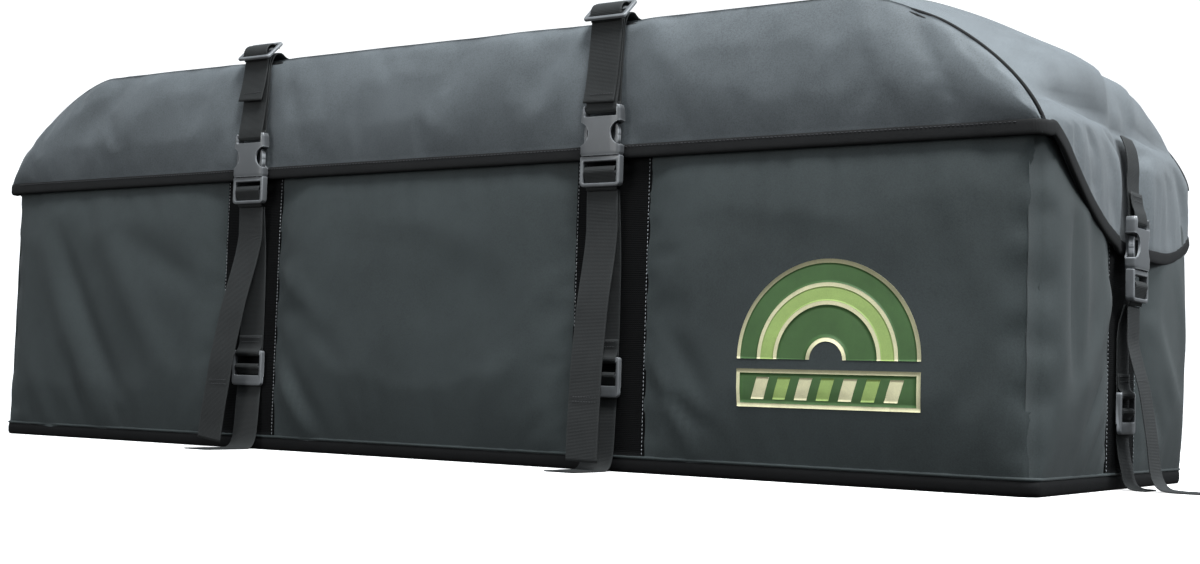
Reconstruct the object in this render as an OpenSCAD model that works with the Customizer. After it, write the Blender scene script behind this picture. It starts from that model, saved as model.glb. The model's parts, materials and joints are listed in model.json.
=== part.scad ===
// Soft-sided cargo bag for a hitch rack: padded tub, arched lid and webbing hardware.
// +X runs along the length, the front faces -Y, and the base rests on Z = 0.

/* [Tub] */
// Length of the tub along X
tub_l = 1473; // [1300:1:1600]
// Depth of the tub from front to back
tub_w = 483; // [420:1:540]
// Height of the lid's lower edge above the base
edge_z = 334; // [300:1:360]
// Radius of the upright corners
corner_r = 14; // [8:1:30]
// Thickness of the coated fabric panels
fabric_t = 3; // [2:0.5:4]
// Thickness of the foam behind each wall panel
foam_t = 6; // [4:1:10]
// Thickness of the stiff board in the floor
board_t = 6; // [4:1:10]
// Height of the black border around the base
border_h = 15; // [12:1:20]
// How far the front wall rises inside the lid
rim_rise = 18; // [12:1:22]

/* [Lid] */
// Rise of the front panel above the lid's edge
arch_h = 148; // [120:1:170]
// Half length of the straight part of the ridge
ridge_half = 544; // [500:1:580]
// Exponent of the shoulder's curve, where 2 is an ellipse and 1 a straight slope
shoulder_p = 1.5; // [1.3:0.05:2]
// Thickness of the lid's panels
lid_t = 5; // [4:0.5:6]
// Gap between the lid's skirt and the walls that it overlaps
skirt_gap = 1; // [0.8:0.1:1.2]
// How far the crown swells above the ridge at mid-width
crown_h = 20; // [10:1:26]
// Width of the binding tape along the lid's edge
binding_w = 14; // [10:1:18]
// How far the end flaps hang below the lid's edge
flap_drop = 94; // [80:1:96]
// Y position of the lowest point of the end flaps
flap_mid = 55; // [40:1:70]

/* [Webbing] */
// Width of the strap webbing
web_w = 40; // [38:1:42]
// Thickness of the strap webbing
web_t = 1.6; // [1.2:0.1:2]
// Width of the broad bands sewn on the tub
band_w = 95; // [80:1:100]
// Distance of each front band from the middle
band_x = 268; // [240:1:300]
// Distance of each front buckle from the middle
strap_x = 262; // [240:1:290]
// Y position of the straps on the ends
end_y = 4; // [-10:1:20]

/* [Hardware] */
// Width of the buckle halves
buckle_w = 51; // [51:0.5:54]
// Thickness of the socket half
buckle_t = 14; // [14:0.5:16]
// Height of the socket half
socket_h = 54; // [54:1:60]
// Height of the plug half below the socket's mouth
plug_h = 33; // [33:1:36]
// Height of the mouth of the front buckles
front_mouth_z = 335; // [335:1:345]
// Height of the mouth of the end buckles
end_mouth_z = 226; // [220:1:232]
// Height of the middle bar of the front ladder locks
front_lock_z = 101; // [95:1:105]
// Height of the middle bar of the end ladder locks
end_lock_z = 80; // [76:1:84]

/* [Hidden] */
$fn = 48;

fabric = [0.24, 0.25, 0.27];
lid_fabric = [0.30, 0.31, 0.33];
webbing = [0.05, 0.05, 0.055];
plastic = [0.10, 0.10, 0.11];
foam = [0.35, 0.35, 0.36];
board = [0.16, 0.16, 0.17];
green = [0.25, 0.37, 0.16];

half_w = tub_w / 2;
half_l = tub_l / 2;
rim_z = edge_z + rim_rise;
rim_half = half_l - 36;
fit_gap = 0.3;

// Depths are measured outwards from the tub's wall.
skin_out = skirt_gap + lid_t;
binding_t = 2;
socket_back = skin_out + binding_t + 2.5;
core_depth = socket_back + buckle_t / 2;
arm_t = 6;
cavity_t = arm_t + 4;
bar_r = 2.4;
loop_in = bar_r + 0.2;
loop_out = loop_in + web_t;
strap_depth = core_depth - (loop_in + loop_out) / 2;
shoulder_a = half_l + skin_out - ridge_half;
ridge_z = edge_z + arch_h;
lock_depth = 7.5;

// ---------- shared shapes ----------

module round_rect(l, w, r) {
    square([l - 2 * r, w], center = true);
    square([l, w - 2 * r], center = true);
    for (sx = [-1, 1], sy = [-1, 1])
        translate([sx * (l / 2 - r), sy * (w / 2 - r)]) circle(r);
}

module wall_ring(inset, thick) {
    difference() {
        round_rect(tub_l - 2 * inset, tub_w - 2 * inset, corner_r - inset);
        round_rect(tub_l - 2 * (inset + thick), tub_w - 2 * (inset + thick),
            max(corner_r - inset - thick, 2));
    }
}

// A corner of the ring belongs to the two walls that meet there, split on its diagonal.
module front_sector() {
    polygon([[-half_l, -half_w], [half_l, -half_w], [half_l - half_w, 0], [half_w - half_l, 0]]);
}

module right_sector() {
    polygon([[half_l, -half_w], [half_l, half_w], [half_l - half_w, 0]]);
}

module front_wall_shape() {
    intersection() { wall_ring(0, fabric_t); front_sector(); }
}

module end_wall_shape() {
    intersection() { wall_ring(0, fabric_t); right_sector(); }
}

function unit(v) = v / norm(v);
function across(v) = [-v[1], v[0]];
function tangent(path, i) =
    unit(path[min(i + 1, len(path) - 1)] - path[max(i - 1, 0)]);
function offset_path(path, d) = [for (i = [0 : len(path) - 1]) path[i] + d * across(tangent(path, i))];
function reversed(list) = [for (i = [len(list) - 1 : -1 : 0]) list[i]];

// A strap whose side view follows a path of [depth, height] points.
module strap(path, width) {
    side = concat(offset_path(path, web_t / 2), reversed(offset_path(path, -web_t / 2)));
    rotate([0, 0, -90]) rotate([90, 0, 0])
        linear_extrude(width, center = true) polygon(side);
}

module bar(depth, z, r, length) {
    translate([0, -depth, z]) rotate([0, 90, 0]) cylinder(h = length, r = r, center = true);
}

module web_loop(depth, z) {
    difference() {
        bar(depth, z, loop_out, web_w);
        bar(depth, z, loop_in, web_w + 2);
    }
}

// Stations stand on a wall with -Y pointing out of it.
module on_front(x) { translate([x, -half_w, 0]) children(); }
module on_back(x) { translate([x, half_w, 0]) rotate([0, 0, 180]) children(); }
module on_right() { translate([half_l, end_y, 0]) rotate([0, 0, 90]) children(); }
module on_left() { translate([-half_l, end_y, 0]) rotate([0, 0, -90]) children(); }

// ---------- tub ----------

module base_tray() {
    color(board) difference() {
        linear_extrude(border_h) round_rect(tub_l + 3, tub_w + 3, corner_r + 1.5);
        translate([0, 0, fabric_t]) linear_extrude(border_h) round_rect(tub_l, tub_w, corner_r);
    }
}

module base_board() {
    inner = fabric_t + foam_t;
    color("dimgray") translate([0, 0, fabric_t]) linear_extrude(board_t)
        round_rect(tub_l - 2 * inner, tub_w - 2 * inner, corner_r - inner);
}

wall_h = edge_z - fit_gap - fabric_t;

module wall() { translate([0, 0, fabric_t]) linear_extrude(wall_h) children(); }

// The front wall has a strip along its top that rises behind the lid's skirt.
module rim_strip(thick_z, from_z) {
    translate([-rim_half, -half_w, from_z]) cube([2 * rim_half, fabric_t, thick_z]);
}

module front_panel() {
    color(fabric) {
        wall() front_wall_shape();
        rim_strip(rim_z - edge_z + 5, edge_z - 5);
    }
}

module back_panel() { color(fabric) wall() rotate(180) front_wall_shape(); }
module end_panel() { wall() end_wall_shape(); }

module right_end_panel() { color(fabric) end_panel(); }
module left_end_panel() { color(fabric) mirror([1, 0, 0]) end_panel(); }

module wall_padding() {
    color(foam) translate([0, 0, fabric_t]) linear_extrude(edge_z - 6 - fabric_t)
        wall_ring(fabric_t, foam_t);
}

module base_piping() {
    color(webbing) translate([0, 0, border_h]) linear_extrude(3) difference() {
        round_rect(tub_l + 3, tub_w + 3, corner_r + 1.5);
        round_rect(tub_l, tub_w, corner_r);
    }
}

module rim_binding() { color(webbing) rim_strip(2, rim_z); }

module band(from_z, to_z) {
    color(webbing) translate([-band_w / 2, -web_t, from_z]) cube([band_w, web_t, to_z - from_z]);
}

module front_left_band() { on_front(-band_x) band(border_h + 3, edge_z - fit_gap); }
module front_right_band() { on_front(band_x) band(border_h + 3, edge_z - fit_gap); }
module back_bands() { for (s = [-1, 1]) on_back(s * band_x) band(border_h + 3, edge_z - 40); }
module left_end_band() { on_left() band(border_h + 3, edge_z - fit_gap); }
module right_end_band() { on_right() band(border_h + 3, edge_z - fit_gap); }

module hinge_strip() {
    color(webbing) on_back(0) translate([-ridge_half - 120, -web_t, edge_z - 34])
        cube([2 * (ridge_half + 120), web_t, 33]);
}

// A plain printed badge: an arch over a bar.
module emblem_patch() {
    badge_w = 198;
    badge_t = 0.8;
    color(green) on_front(530) translate([0, 0, 74]) rotate([90, 0, 0]) linear_extrude(badge_t) {
        translate([-badge_w / 2, 0]) square([badge_w, 38]);
        translate([0, 48]) intersection() {
            circle(badge_w / 2);
            translate([-badge_w / 2, 0]) square([badge_w, badge_w]);
        }
    }
}

// ---------- lower straps and ladder locks ----------

module anchor_strap(mouth_z, lock_z) {
    top_z = mouth_z - plug_h - 2;
    hold_z = lock_z + 17;
    path = [[lock_depth - (loop_in + loop_out) / 2, hold_z], [3.9, hold_z + 9], [2.8, hold_z + 17],
        [2.8, hold_z + 50], [5, (hold_z + 50 + top_z) / 2], [strap_depth - 2.7, top_z]];
    color(webbing) {
        strap(path, web_w);
        web_loop(lock_depth, hold_z);
    }
}

module anchor_straps() {
    for (s = [-1, 1]) on_front(s * strap_x) anchor_strap(front_mouth_z, front_lock_z);
    on_left() anchor_strap(end_mouth_z, end_lock_z);
    on_right() anchor_strap(end_mouth_z, end_lock_z);
}

// The free end hangs clear of the ladder lock behind it, and of the plug when it slides out.
tail_gap = 4;

module front_tail(lean) {
    top_z = front_mouth_z - plug_h - tail_gap;
    turn_z = 262;
    color(webbing) {
        strap([[strap_depth, top_z], [strap_depth, turn_z - 3]], web_w);
        translate([0, 0, turn_z]) rotate([0, lean, 0]) translate([0, 0, -turn_z])
            strap([[strap_depth, turn_z + 3], [strap_depth, 252], [19, 215], [27, 165],
                [32, 110], [34, 60], [34, 10]], web_w);
    }
}

// The end tails reach the ground, bend and lie on it.
module end_tail() {
    path = [[strap_depth, end_mouth_z - plug_h - tail_gap], [strap_depth, 150], [19, 130], [27, 100],
        [34, 60], [38, 24], [42, 9], [50, 2.2], [60, 1.2], [112, 1.2]];
    color(webbing) strap(path, web_w);
}

module front_left_lower_tail() { on_front(-strap_x) front_tail(8); }
module front_right_lower_tail() { on_front(strap_x) front_tail(0); }
module left_end_lower_tail() { on_left() end_tail(); }
module right_end_lower_tail() { on_right() end_tail(); }

module ladder_lock(z) {
    color(plastic) {
        difference() {
            translate([-25, -10.5, z - 23]) cube([50, 6, 43]);
            translate([-21, -12, z - 11]) cube([42, 10, 33]);
            translate([-26, -6, z - 25]) cube([52, 3, 14]);
        }
        bar(lock_depth, z + 17, bar_r - 0.2, 44);
        bar(lock_depth, z, bar_r - 0.2, 44);
    }
}

module front_left_ladder_lock() { on_front(-strap_x) ladder_lock(front_lock_z); }
module front_right_ladder_lock() { on_front(strap_x) ladder_lock(front_lock_z); }
module left_end_ladder_lock() { on_left() ladder_lock(end_lock_z); }
module right_end_ladder_lock() { on_right() ladder_lock(end_lock_z); }

// The strap leaves the back of the middle bar, so the lock can tip away from it.
module tie_strap(z, reach) {
    back = lock_depth - (loop_in + loop_out) / 2;
    path = [[back, z], [back, z - 26], [6, z - 44], [9, 22], [12, 9], [19, 2.2], [28, 1.2],
        [28 + reach, 1.2]];
    color(webbing) strap(path, web_w);
}

module front_left_tie_strap() { on_front(-strap_x) tie_strap(front_lock_z, 60); }
module front_right_tie_strap() { on_front(strap_x) tie_strap(front_lock_z, 50); }
module left_end_tie_strap() { on_left() tie_strap(end_lock_z, 6); }
module right_end_tie_strap() { on_right() tie_strap(end_lock_z, 6); }

// ---------- side-release buckles, drawn with the socket's mouth at z = 0 ----------

arm_x = 15;
arm_z = 3.6;

module upright_slab(w, t, from_z, to_z) {
    translate([-w / 2, -core_depth - t / 2, from_z]) cube([w, t, to_z - from_z]);
}

// The shell's rounded outline is extruded upwards, and its windows are cut through it.
module socket_shell(open_sides) {
    slot_z = socket_h - 12;
    color(plastic) difference() {
        translate([0, -core_depth, fit_gap]) linear_extrude(socket_h - fit_gap)
            round_rect(buckle_w, buckle_t, 3);
        upright_slab(buckle_w - 6, cavity_t, -1, slot_z - 4);
        for (s = [-1, 1]) translate([s * (buckle_w / 2 + 3), -core_depth, 24])
            rotate([90, 0, 0]) cylinder(h = buckle_t + 2, r = 12, center = true);
        upright_slab(web_w + 1.5, buckle_t + 2, slot_z, socket_h + 1);
        if (open_sides) upright_slab(buckle_w + 2, cavity_t, -1, 37);
    }
    color(plastic) bar(core_depth, socket_h - 4, bar_r, web_w + 3);
}

// Frame with two cross-bars, and the guide tongue that enters the socket.
module plug_frame() {
    frame_t = 9;
    color(plastic) {
        difference() {
            upright_slab(buckle_w, frame_t, -plug_h, 0);
            upright_slab(web_w + 2, frame_t + 2, 4 - plug_h, -6);
            translate([-web_w / 2 - 1, -core_depth + 1.5, -plug_h - 1])
                cube([web_w + 2, frame_t, 8]);
        }
        bar(core_depth, -plug_h / 2 - 2, bar_r, web_w + 4);
        upright_slab(14, arm_t, -1, 31);
    }
}

// A springy arm, drawn on the +X side. Its rounded pad shows in the socket's window.
module release_arm() {
    color(plastic) translate([0, -core_depth + arm_t / 2, 0]) rotate([90, 0, 0])
        linear_extrude(arm_t) {
            translate([arm_x, arm_z]) circle(3.2);
            polygon([[arm_x - 2.8, arm_z], [arm_x + 2.8, arm_z], [21.8, 16], [21.8, 30],
                [19.5, 34], [16, 34], [15.5, 22]]);
        }
}

module lift(z) { translate([0, 0, z]) children(); }

module front_left_plug() { on_front(-strap_x) lift(front_mouth_z) plug_frame(); }
module front_right_plug() { on_front(strap_x) lift(front_mouth_z) plug_frame(); }
module left_end_plug() { on_left() lift(end_mouth_z) plug_frame(); }
module right_end_plug() { on_right() lift(end_mouth_z) plug_frame(); }

module front_left_arm_a() { on_front(-strap_x) lift(front_mouth_z) mirror([1, 0, 0]) release_arm(); }
module front_left_arm_b() { on_front(-strap_x) lift(front_mouth_z) release_arm(); }
module front_right_arm_a() { on_front(strap_x) lift(front_mouth_z) mirror([1, 0, 0]) release_arm(); }
module front_right_arm_b() { on_front(strap_x) lift(front_mouth_z) release_arm(); }
module left_end_arm_a() { on_left() lift(end_mouth_z) mirror([1, 0, 0]) release_arm(); }
module left_end_arm_b() { on_left() lift(end_mouth_z) release_arm(); }
module right_end_arm_a() { on_right() lift(end_mouth_z) mirror([1, 0, 0]) release_arm(); }
module right_end_arm_b() { on_right() lift(end_mouth_z) release_arm(); }

module front_left_socket() { on_front(-strap_x) lift(front_mouth_z) socket_shell(false); }
module front_right_socket() { on_front(strap_x) lift(front_mouth_z) socket_shell(false); }
module left_end_socket() { on_left() lift(end_mouth_z) socket_shell(true); }
module right_end_socket() { on_right() lift(end_mouth_z) socket_shell(true); }

// ---------- lid ----------

// The shoulder is a quarter of a superellipse, from the ridge (t = 0) down to the edge (t = 90).
function shoulder(t, grow) = [
    ridge_half + (shoulder_a + grow) * pow(sin(t), 2 / shoulder_p),
    edge_z + (arch_h + grow) * pow(cos(t), 2 / shoulder_p)];

shoulder_steps = 18;
function right_side(grow) = [for (i = [0 : shoulder_steps]) shoulder(90 * i / shoulder_steps, grow)];
function arch(grow) = concat(reversed(right_side(grow)),
    [for (p = right_side(grow)) [-p[0], p[1]]]);

module arch_plate(thick, lift_z) {
    rotate([90, 0, 0]) linear_extrude(thick) difference() {
        polygon(arch(0));
        translate([-tub_l, edge_z - 1]) square([2 * tub_l, 1 + lift_z]);
    }
}

module lid_front_panel() { color(lid_fabric) translate([0, -half_w - skirt_gap, 0]) arch_plate(lid_t, 0); }
module lid_back_panel() { color(lid_fabric) translate([0, half_w, 0]) arch_plate(lid_t, fit_gap); }

front_v = -half_w - skirt_gap;
back_v = half_w - lid_t;
function swell(v) = crown_h * (1 - pow(abs(2 * v - 1), 2.4));
function ease(x) = let (c = min(max(x, 0), 1)) c * c * (3 - 2 * c);
function bulge(z, v) = swell(v) * ease((z - edge_z - 25) / 60);

top_steps = 6;
v_steps = 12;
arch_line = let (r = right_side(0)) concat(reversed(r),
    [for (i = [1 : top_steps - 1]) [ridge_half * (1 - 2 * i / top_steps), ridge_z]],
    [for (p = r) [-p[0], p[1]]]);
function arch_normal(i) =
    i == 0 ? [1, 0] : i == len(arch_line) - 1 ? [-1, 0] : -across(tangent(arch_line, i));
function gusset_point(i, j, inner) =
    let (v = j / v_steps, p = arch_line[i], d = bulge(p[1], v) - inner,
        q = p + d * arch_normal(i))
    [q[0], front_v + v * (back_v - front_v), q[1]];

module lid_gusset() {
    ni = len(arch_line);
    nj = v_steps + 1;
    outer = [for (i = [0 : ni - 1], j = [0 : nj - 1]) gusset_point(i, j, 0)];
    inner = [for (i = [0 : ni - 1], j = [0 : nj - 1]) gusset_point(i, j, lid_t)];
    n = ni * nj;
    skins = [for (i = [0 : ni - 2], j = [0 : nj - 2]) let (a = i * nj + j, b = a + nj)
        each [[a, b, b + 1], [a, b + 1, a + 1], [n + a, n + b + 1, n + b], [n + a, n + a + 1, n + b + 1]]];
    sides = [for (i = [0 : ni - 2]) let (a = i * nj, b = a + nj, c = a + nj - 1, d = c + nj)
        each [[a, n + a, n + b], [a, n + b, b], [c, d, n + d], [c, n + d, n + c]]];
    last = (ni - 1) * nj;
    ends = [for (j = [0 : nj - 2]) let (a = j, b = last + j)
        each [[a, a + 1, n + a + 1], [a, n + a + 1, n + a], [b, n + b + 1, b + 1], [b, n + b, n + b + 1]]];
    color(lid_fabric) polyhedron(concat(outer, inner), concat(skins, sides, ends));
}

flap_front = -190;
flap_back = 236;
function flap_low(y) = edge_z - flap_drop + 59 * pow(abs(y - flap_mid) / 232, 2.6);

module flap_outline(top) {
    ys = [for (i = [0 : 16]) flap_front + (flap_back - flap_front) * i / 16];
    polygon(concat([for (y = ys) [y, flap_low(y)]], [for (y = reversed(ys)) [y, top(y)]]));
}

module flap() {
    translate([half_l + 2.5, 0, 0]) rotate([90, 0, 90]) linear_extrude(skin_out - 2.5)
        flap_outline(function (y) edge_z);
}

module right_end_flap() { color(lid_fabric) flap(); }
module left_end_flap() { color(lid_fabric) mirror([1, 0, 0]) flap(); }

module flap_binding() {
    translate([half_l + skin_out, 0, 0]) rotate([90, 0, 90]) linear_extrude(binding_t)
        flap_outline(function (y) flap_low(y) + binding_w);
}

module lid_binding() {
    color(webbing) {
        translate([-half_l - skin_out, -half_w - skin_out - binding_t, edge_z])
            cube([tub_l + 2 * skin_out, binding_t, binding_w]);
        flap_binding();
        mirror([1, 0, 0]) flap_binding();
    }
}

module arch_piping() {
    rotate([90, 0, 0]) linear_extrude(3) difference() {
        polygon(arch(2.5));
        polygon(arch(0));
        translate([-tub_l, edge_z - 10]) square([2 * tub_l, 12]);
    }
}

module lid_piping() {
    color(webbing) {
        translate([0, -half_w - skirt_gap, 0]) arch_piping();
        translate([0, half_w - 2, 0]) arch_piping();
    }
}

// ---------- lid straps, in side view as [depth out of the front wall, height] ----------

function crown_z(y) = ridge_z + swell((y - front_v) / (back_v - front_v));

module lid_strap() {
    bar_z = front_mouth_z + socket_h - 4;
    over = [for (y = [-220 : 20 : 220]) [-half_w - y, crown_z(y) + 2]];
    path = concat([[strap_depth, bar_z], [strap_depth - 1, 410], [10.5, 445], [9.6, 470], [7.5, 482],
        [2, 489.5], [-8, 492]], over, [[-tub_w + 4, 488], [-tub_w - 1, 484], [-tub_w - 2.6, 476],
        [-tub_w - 2.6, edge_z + 26]]);
    color(webbing) {
        strap(path, web_w);
        web_loop(core_depth, bar_z);
    }
}

module left_lid_strap() { on_front(-strap_x) lid_strap(); }
module right_lid_strap() { on_front(strap_x) lid_strap(); }

module end_upper_strap() {
    bar_z = end_mouth_z + socket_h - 4;
    path = [[strap_depth, bar_z], [strap_depth - 0.5, bar_z + 16], [10, bar_z + 38],
        [7.6, bar_z + 58], [7.2, edge_z + 23]];
    color(webbing) {
        strap(path, web_w);
        web_loop(core_depth, bar_z);
    }
}

module left_end_upper_strap() { on_left() end_upper_strap(); }
module right_end_upper_strap() { on_right() end_upper_strap(); }

// A flat frame with a middle bar, leaning back on the ridge.
module tri_glide() {
    color(plastic) translate([0, -10, ridge_z + 12]) rotate([-48, 0, 0]) {
        difference() {
            cube([54, 4, 34], center = true);
            for (s = [-1, 1]) translate([0, 0, s * 7.5]) cube([web_w + 4, 6, 10], center = true);
        }
    }
}

module left_tri_glide() { on_front(-strap_x) tri_glide(); }
module right_tri_glide() { on_front(strap_x) tri_glide(); }

base_tray();
base_board();
front_panel();
back_panel();
left_end_panel();
right_end_panel();
wall_padding();
base_piping();
rim_binding();
front_left_band();
front_right_band();
back_bands();
left_end_band();
right_end_band();
hinge_strip();
emblem_patch();
anchor_straps();
front_left_lower_tail();
front_right_lower_tail();
left_end_lower_tail();
right_end_lower_tail();
front_left_ladder_lock();
front_right_ladder_lock();
left_end_ladder_lock();
right_end_ladder_lock();
front_left_tie_strap();
front_right_tie_strap();
left_end_tie_strap();
right_end_tie_strap();
front_left_plug();
front_right_plug();
left_end_plug();
right_end_plug();
front_left_arm_a();
front_left_arm_b();
front_right_arm_a();
front_right_arm_b();
left_end_arm_a();
left_end_arm_b();
right_end_arm_a();
right_end_arm_b();
lid_front_panel();
lid_back_panel();
lid_gusset();
left_end_flap();
right_end_flap();
lid_binding();
lid_piping();
left_lid_strap();
right_lid_strap();
left_end_upper_strap();
right_end_upper_strap();
left_tri_glide();
right_tri_glide();
front_left_socket();
front_right_socket();
left_end_socket();
right_end_socket();
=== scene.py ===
# %% [markdown]
# # A soft cargo bag for a hitch rack
# The real bag is a foam-stiffened box of coated polyester with an arched lid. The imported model
# gives every size and every moving body. This file adds what a sewing room adds: cloth that
# swells between its seams, binding tape, webbing, stitches and moulded buckles.

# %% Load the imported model
import json
import math

import bmesh
import bpy
import numpy as np
from mathutils import Matrix, Vector, noise
from mathutils.bvhtree import BVHTree

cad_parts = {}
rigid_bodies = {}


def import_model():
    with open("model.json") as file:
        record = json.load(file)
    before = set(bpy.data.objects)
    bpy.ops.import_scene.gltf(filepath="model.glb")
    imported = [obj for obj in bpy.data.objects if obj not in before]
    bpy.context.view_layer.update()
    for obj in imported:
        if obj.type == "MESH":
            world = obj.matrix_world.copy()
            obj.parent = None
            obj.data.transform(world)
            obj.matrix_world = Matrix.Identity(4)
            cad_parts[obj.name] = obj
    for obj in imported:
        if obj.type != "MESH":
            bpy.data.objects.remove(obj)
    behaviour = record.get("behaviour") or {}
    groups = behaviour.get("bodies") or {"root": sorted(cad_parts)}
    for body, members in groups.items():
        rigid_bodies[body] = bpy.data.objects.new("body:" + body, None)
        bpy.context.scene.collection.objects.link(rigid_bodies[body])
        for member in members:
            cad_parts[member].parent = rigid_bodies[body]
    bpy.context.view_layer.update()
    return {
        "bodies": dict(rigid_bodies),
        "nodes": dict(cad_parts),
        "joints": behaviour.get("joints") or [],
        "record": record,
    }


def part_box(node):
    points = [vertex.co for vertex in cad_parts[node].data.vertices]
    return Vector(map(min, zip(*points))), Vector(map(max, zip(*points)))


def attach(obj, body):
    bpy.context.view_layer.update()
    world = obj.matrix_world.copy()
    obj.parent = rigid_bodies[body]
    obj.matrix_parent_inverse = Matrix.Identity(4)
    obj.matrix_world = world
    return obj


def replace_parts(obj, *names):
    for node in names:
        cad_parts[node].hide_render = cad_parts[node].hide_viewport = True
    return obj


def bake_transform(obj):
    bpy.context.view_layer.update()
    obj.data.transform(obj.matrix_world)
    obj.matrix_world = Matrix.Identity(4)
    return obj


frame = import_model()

mm = 0.001

# %% [markdown]
# ## Where things are
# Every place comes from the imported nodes, so that cloth and hardware land where the moving
# model expects them. Only the shapes between those places are drawn here.

# %% Measure the frame
half_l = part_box("right_end_panel")[1].x
half_w = -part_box("front_panel")[0].y
rim_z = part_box("front_panel")[1].z
floor_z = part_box("base_board")[1].z
border_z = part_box("base_tray")[1].z
edge_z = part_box("lid_front_panel")[0].z
ridge_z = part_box("lid_front_panel")[1].z
lid_y = -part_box("lid_front_panel")[0].y
lid_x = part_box("lid_gusset")[1].x
flap_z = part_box("right_end_flap")[0].z
web_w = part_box("front_right_tie_strap")[1].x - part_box("front_right_tie_strap")[0].x
web_t = 1.6 * mm


def middle(node):
    low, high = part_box(node)
    return (low + high) / 2


print(f"tub {2 * half_l:.3f} x {2 * half_w:.3f}, edge {edge_z:.3f}, ridge {ridge_z:.3f}")

# %% [markdown]
# ## The camera
# The viewer stands off the right-hand end, with the lens lower than the middle of the bag, so
# the long front runs away to the left and the right end is seen at a slant. A 51 mm lens on a
# 36 mm sensor gives that perspective.

# %% Place the camera
camera_place = Vector((1.2739, -1.7577, 0.0869))
camera_yaw, camera_pitch, camera_roll = (math.radians(a) for a in (-33.96, 3.59, 1.78))

forward = Vector((math.sin(camera_yaw) * math.cos(camera_pitch),
                  math.cos(camera_yaw) * math.cos(camera_pitch), math.sin(camera_pitch)))
level = Vector((math.cos(camera_yaw), -math.sin(camera_yaw), 0))
upward = level.cross(forward)
right = math.cos(camera_roll) * level + math.sin(camera_roll) * upward
above = math.cos(camera_roll) * upward - math.sin(camera_roll) * level

camera = bpy.data.objects.new("camera", bpy.data.cameras.new("camera"))
bpy.context.scene.collection.objects.link(camera)
camera.data.lens, camera.data.sensor_width = 51.15, 36
camera.data.clip_end = 60
turned_view = Matrix((right, above, -forward)).transposed().to_4x4()
camera.matrix_world = Matrix.Translation(camera_place) @ turned_view
bpy.context.scene.camera = camera

# %% [markdown]
# ## Shader maths as plain expressions
# A finish is easier to read as `base + 0.2 * grain` than as a list of node links. `Value`
# wraps one socket: its operators add Math nodes, and `Value.node` adds any other node, with
# settings first and sockets after.


# %% Wrap a shader socket
class Value:
    def __init__(self, tree, socket):
        self.tree, self.socket = tree, socket

    def node(self, kind, settings=None, out=0, **sockets):
        """Add a node. A socket's name is given with _ for each space."""
        made = self.tree.nodes.new(kind)
        for key, value in (settings or {}).items():
            if key == "stops":
                for i, (place, colour) in enumerate(value):
                    stop = made.color_ramp.elements[i] if i < 2 else made.color_ramp.elements.new(place)
                    stop.position, stop.color = place, (*colour, 1)
            else:
                setattr(made, key, value)
        for key, value in sockets.items():
            found = made.inputs[int(key[1:])] if key[1:].isdigit() else made.inputs[key.replace("_", " ")]
            if isinstance(value, Value):
                self.tree.links.new(value.socket, found)
            else:
                found.default_value = value
        return Value(self.tree, made.outputs[out])

    def _math(self, operation, a, b=0.0):
        return self.node("ShaderNodeMath", {"operation": operation}, i0=a, i1=b)

    def __add__(self, other): return self._math("ADD", self, other)
    def __radd__(self, other): return self._math("ADD", other, self)
    def __sub__(self, other): return self._math("SUBTRACT", self, other)
    def __rsub__(self, other): return self._math("SUBTRACT", other, self)
    def __mul__(self, other): return self._math("MULTIPLY", self, other)
    def __rmul__(self, other): return self._math("MULTIPLY", other, self)
    def __truediv__(self, other): return self._math("DIVIDE", self, other)

    def sine(self): return self._math("SINE", self)
    def size(self): return self._math("ABSOLUTE", self)

    def smooth(self, low, high):
        """0 at low, 1 at high, eased between."""
        return self.node("ShaderNodeMapRange", {"interpolation_type": "SMOOTHSTEP"},
                         Value=self, From_Min=low, From_Max=high)

    def mix(self, first, second):
        """Two colours mixed by this value."""
        return self.node("ShaderNodeMix", {"data_type": "RGBA"}, out=2, i0=self, i6=first, i7=second)


def finish_of(name, slot_colour, build, **constants):
    """A Principled material. build(start, colour) returns what drives its sockets."""
    made = bpy.data.materials.new(name)
    made.use_nodes = True
    tree = made.node_tree
    shader = tree.nodes["Principled BSDF"]
    for key, value in constants.items():
        shader.inputs[key.replace("_", " ")].default_value = value
    place = Value(tree, tree.nodes.new("ShaderNodeTexCoord").outputs["Object"])
    for key, value in build(place, (*slot_colour, 1)).items():
        tree.links.new(value.socket, shader.inputs[key])
    return made


def noise_of(place, scale, detail=2.0, rough=0.5):
    return place.node("ShaderNodeTexNoise", Vector=place, Scale=scale, Detail=detail, Roughness=rough)


def bump_of(height, strength, distance):
    return height.node("ShaderNodeBump", Height=height, Strength=strength, Distance=distance)


def axes_of(place):
    split = place.node("ShaderNodeSeparateXYZ", Vector=place)
    outs = split.socket.node.outputs
    return [Value(place.tree, outs[i]) for i in range(3)]


# %% [markdown]
# ## Coated polyester
# The panels are a plain weave of thick and thin yarns with a dull coating. From a metre away
# it reads as charcoal with a slight blue cast, a fine grain and a soft sheen along folds. The
# weave is two crossed waves on the object's own axes, faded by noise so that it never looks
# printed. A woven image would need UVs on a mesh whose cloth has moved.


# %% Cloth finishes
def weave(place, pitch, wander):
    """Two crossed sets of threads that show on whichever way the panel faces."""
    x, y, z = axes_of(place)
    drift = (noise_of(place, 60.0) - 0.5) * wander
    turns = 2 * math.pi / pitch
    across = ((x + y + drift) * turns).sine()
    along = ((z + 0.35 * y + drift) * turns).sine()
    return across * along


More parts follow.
